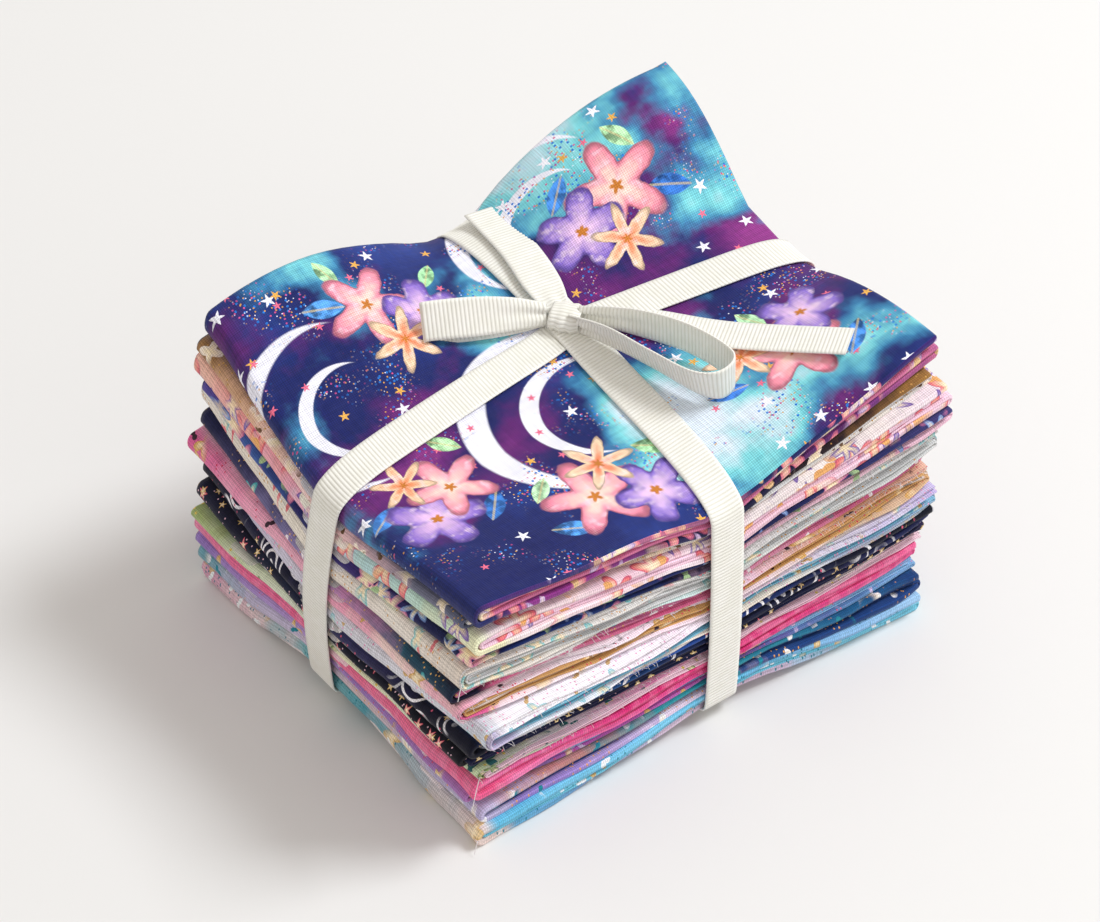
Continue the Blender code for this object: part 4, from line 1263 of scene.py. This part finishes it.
def evened(places, step):
    # the same route with rows an even step apart
    middle = places[:, places.shape[1] // 2]
    lengths = lengthAlong(*middle.T)
    count = int(lengths[-1] / step) + 2
    wanted = np.linspace(0, lengths[-1], count)
    flat = places.reshape(len(places), -1)
    evenly = [np.interp(wanted, lengths, column) for column in flat.T]
    return np.stack(evenly, axis=1).reshape(count, *places.shape[1:]), wanted


def wrapPlaces(longWay, lift):
    # from the knot round the stack and back to it, as a grid
    length = stack["length"] if longWay else stack["depth"]
    middleLine = longMiddle if longWay else shortMiddle
    knotAt = ribbon["knot"][0 if longWay else 1]
    outward = ribbon["thick"] / 2 + ribbon["gap"]
    shifts = np.linspace(-0.5, 0.5, ribbon["columns"]) * ribbon["width"]

    def row(position, above, share=None, side=0):
        beside = middleLine(np.clip(position, 0, length), above) + shifts
        if longWay:
            x, y = np.full(len(shifts), position), beside
        else:
            x, y = beside[::-1], np.full(len(shifts), position)
        low, high = underHeight(x, y) - outward, ribbonRest(x, y) + outward
        if share is None:
            z = high if above else low
        else:
            z = low + (high - low) * share
            turned = middleLine(np.clip(position, 0, length), False) * (1 - share)
            turned = turned + middleLine(np.clip(position, 0, length), True) * share + shifts
            x, y = (x, turned) if longWay else (turned[::-1], y)
            bulge = stack["sideBulge"] * math.sin(math.pi * share) * (1.0 if longWay else 0.3)
            bulge = bulge * (0.5 if longWay and side > 0 else 1.0)
            offset = side * (bulge + outward + 0.35)
            x, y = (x + offset, y) if longWay else (x, y + offset)
        return np.stack([x, y, z], axis=-1)

    sideAt = {"low": 0.9, "high": length - 0.9}
    rows = [row(value, True) for value in np.linspace(knotAt, sideAt["low"] + 1.6, 60)]
    rows += [row(sideAt["low"], True, share, -1) for share in np.linspace(0.985, 0.015, 50)]
    rows += [row(value, False) for value in np.linspace(sideAt["low"] + 1.6, sideAt["high"] - 1.6, 90)]
    rows += [row(sideAt["high"], True, share, 1) for share in np.linspace(0.015, 0.985, 50)]
    rows += [row(value, True) for value in np.linspace(sideAt["high"] - 1.6, knotAt, 60)]
    places, along = evened(np.stack(rows), 0.8)
    places, along = evened(smoothed(places, 8), ribbon["ribPitch"] / ribbon["rowsPerRib"])
    nearKnot = np.exp(-(((along - along[0]) / 9) ** 2)) + np.exp(-(((along - along[-1]) / 9) ** 2))
    places[:, :, 2] += (lift * nearKnot)[:, None]
    return places, along


def between(table, share):
    # a smooth line through the rows of a table
    table = np.asarray(table, float)
    at = np.clip(share, 0, 1) * (len(table) - 1)
    index = np.minimum(at.astype(int), len(table) - 2)
    part = (at - index)[:, None]
    padded = np.concatenate([2 * table[:1] - table[1:2], table, 2 * table[-1:] - table[-2:-1]])
    p0, p1, p2, p3 = (padded[index + shift] for shift in range(4))
    curve = 2 * p1 + (p2 - p0) * part + (2 * p0 - 5 * p1 + 4 * p2 - p3) * part**2
    return (curve + (3 * p1 - p0 - 3 * p2 + p3) * part**3) / 2


def bowPlaces(stations, cup=0.0):
    # stations: x, y, z of the middle, lean of the width from level in degrees, width share
    rows = between(stations, np.linspace(0, 1, 160))
    centres = rows[:, :3]
    farthest = centres[np.argmax(np.linalg.norm(centres - centres[0], axis=1))]
    heading = (farthest - centres[0])[:2]
    levelAcross = np.array([-heading[1], heading[0]]) / np.linalg.norm(heading)
    lean = np.radians(rows[:, 3])
    acrossWay = np.stack(
        [levelAcross[0] * np.cos(lean), levelAcross[1] * np.cos(lean), np.sin(lean)], axis=-1
    )
    forward = np.gradient(centres, axis=0)
    normal = np.cross(forward, acrossWay)
    normal /= np.maximum(np.linalg.norm(normal, axis=1, keepdims=True), 1e-9)
    spots = np.linspace(-1, 1, ribbon["columns"])
    half = ribbon["width"] / 2 * rows[:, 4]
    places = centres[:, None] + acrossWay[:, None] * (half[:, None] * spots)[:, :, None]
    gather = (1 - rows[:, 4])[:, None] * 1.1 * np.cos(spots * 2 * math.pi)[None, :]
    gather = gather + cup * (1 - spots**2)[None, :]
    return evened(places + normal[:, None] * gather[:, :, None], ribbon["ribPitch"] / ribbon["rowsPerRib"])


def onStack(stations):
    # stations whose third number is a height over the top, with that number made z
    return [(x, y, float(ribbonRest(x, y)) + over, lean, share) for x, y, over, lean, share in stations]


bow = {
    "ribbon_loop_left": [
        (76.4, 73.0, 84.0, 120, 0.55),
        (68.4, 76.8, 85.4, 127, 0.85),
        (59.3, 81.2, 86.2, 133, 1.0),
        (49.7, 86.4, 86.2, 133, 1.0),
        (48.6, 87.5, 85.2, 133, 1.0),
        (50.6, 87.1, 84.1, 133, 1.0),
        (60.8, 81.8, 83.8, 133, 1.0),
        (69.8, 77.4, 83.4, 127, 0.85),
        (77.4, 74.2, 82.6, 120, 0.55),
    ],
    "ribbon_loop_right": [
        (80.0, 68.0, 83.4, 100, 0.5),
        (82.6, 55.0, 85.6, 108, 0.9),
        (85.0, 41.5, 86.4, 112, 1.0),
        (88.2, 28.5, 86.4, 108, 1.0),
        (92.9, 23.8, 86.6, 98, 1.0),
        (98.6, 26.6, 87.2, 92, 1.0),
        (96.6, 40.0, 87.6, 94, 1.0),
        (90.6, 54.0, 86.6, 94, 0.9),
        (82.8, 68.2, 83.8, 92, 0.5),
    ],
    "ribbon_tail_back": onStack(
        [
            (81.0, 73.6, 1.6, 0, 0.6),
            (83.2, 84.0, 1.6, 0, 1.0),
            (86.0, 98.0, 1.3, 0, 1.0),
            (88.6, 117.0, 1.9, 0, 1.0),
        ]
    ),
    "ribbon_tail_right": onStack(
        [
            (83.6, 69.4, 1.8, 0, 0.5),
            (95.0, 58.6, 0.9, 0, 0.9),
            (108.0, 40.0, 0.7, 0, 1.0),
            (125.0, 13.7, 0.7, 0, 1.0),
        ]
    ),
}


def knotPlaces():
    # a band drawn tight over the crossing, gathered in the middle
    centre = np.array([*ribbon["knot"], float(ribbonRest(*ribbon["knot"])) + 3.0])
    turn = np.linspace(0, 2 * math.pi, 72)
    spots = np.linspace(-1, 1, 13)
    way = np.array([0.80, 0.60, 0.0])  # the way the band is wound, over the short wrap
    beside = np.array([-0.60, 0.80, 0.0])
    upward = np.array([0.0, 0.0, 1.0])
    rise = np.sin(turn)
    flatten = np.where(rise > 0, 2.8, 3.4)
    ring = centre + np.cos(turn)[:, None] * 4.4 * way + (rise * flatten)[:, None] * upward
    middle = 1 - 0.16 * spots**2
    places = ring[:, None] + (spots * 3.9)[None, :, None] * beside
    away = (ring - centre)[:, None] * (middle[None, :, None] - 1)
    crease = 0.28 * np.sin(spots * 9)[None, :] * (0.6 + 0.4 * np.cos(2 * turn))[:, None]
    outwardWay = (ring - centre) / np.linalg.norm(ring - centre, axis=1, keepdims=True)
    places = places + away + outwardWay[:, None] * crease[:, :, None]
    return places, lengthAlong(*ring.T)


def ribbonPiece(name, places, along):
    across = np.linspace(-0.5, 0.5, places.shape[1]) * ribbon["width"]
    ribs = 0.5 - 0.5 * np.cos(2 * math.pi * along / ribbon["ribPitch"])
    plain = np.clip((ribbon["width"] / 2 - np.abs(across)) / ribbon["selvage"], 0, 1)
    thick = ribbon["thick"] + ribbon["ribHeight"] * (ribs[:, None] ** 0.7 - 0.5) * plain[None, :]
    made = clothMesh(name.replace("_", "-"), places, along, across, thick)
    made.data.materials.append(grosgrain)
    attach(made, "root")
    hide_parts(name)
    print("tied", made.name, round(float(along[-1]), 1), "mm")
    return made


grosgrain = ribbonMaterial()
ribbonPiece("ribbon_wrap_long", *wrapPlaces(True, 0.0))
ribbonPiece("ribbon_wrap_short", *wrapPlaces(False, 0.7))
ribbonPiece("ribbon_knot", *knotPlaces())
for name, stations in bow.items():
    ribbonPiece(name, *bowPlaces(stations))


view = {
    "azimuth": -37.085,
    "elevation": 42.706,
    "away": 1070.5,
    "lookAt": (71.196, 64.831, 42.8),
    "lens": 137.4545,
}


def setUpRoom():
    bpy.ops.mesh.primitive_plane_add(size=6)
    floor = bpy.context.object
    floor.name = "floor"
    material = newMaterial("paleFloor")
    shader = material.node_tree.nodes["Principled BSDF"]
    shader.inputs["Base Color"].default_value = (0.8, 0.8, 0.8, 1)
    shader.inputs["Roughness"].default_value = 0.9
    floor.data.materials.append(material)
    world = bpy.data.worlds.new("studio")
    world.use_nodes = True
    world.node_tree.nodes["Background"].inputs["Color"].default_value = (1.0, 0.95, 0.89, 1)
    world.node_tree.nodes["Background"].inputs["Strength"].default_value = 0.66
    bpy.context.scene.world = world


def softBox(name, place, aim, size, power, colour=(1, 1, 1)):
    data = bpy.data.lights.new(name, "AREA")
    data.shape = "RECTANGLE"
    data.size, data.size_y = size
    data.energy = power
    data.color = colour
    light = bpy.data.objects.new(name, data)
    bpy.context.scene.collection.objects.link(light)
    way = Vector(aim) - Vector(place)
    light.location = place
    light.rotation_euler = way.to_track_quat("-Z", "Y").to_euler()
    return light


def setUpCamera():
    azimuth, elevation = math.radians(view["azimuth"]), math.radians(view["elevation"])
    back = np.array(
        [
            math.sin(azimuth) * math.cos(elevation),
            -math.cos(azimuth) * math.cos(elevation),
            math.sin(elevation),
        ]
    )
    right = np.array([math.cos(azimuth), math.sin(azimuth), 0.0])
    up = np.cross(back, right)
    place = toFrame(np.array(view["lookAt"]) + back * view["away"])
    data = bpy.data.cameras.new("camera")
    data.lens, data.sensor_width = view["lens"], 36.0
    camera = bpy.data.objects.new("camera", data)
    bpy.context.scene.collection.objects.link(camera)
    matrix = Matrix.Identity(4)
    for row in range(3):
        matrix[row][0], matrix[row][1] = right[row], up[row]
        matrix[row][2], matrix[row][3] = back[row], place[row]
    camera.matrix_world = matrix
    bpy.context.scene.camera = camera


setUpRoom()
softBox("key", (0.99, -0.48, 1.6), (0, 0, 0.03), (0.60, 0.60), 24.0, (0.955, 0.98, 1.0))
softBox("fill", (0.35, -1.1, 0.7), (0, 0, 0.05), (0.9, 0.9), 1.2)
setUpCamera()
bpy.context.scene.view_settings.view_transform = "Standard"
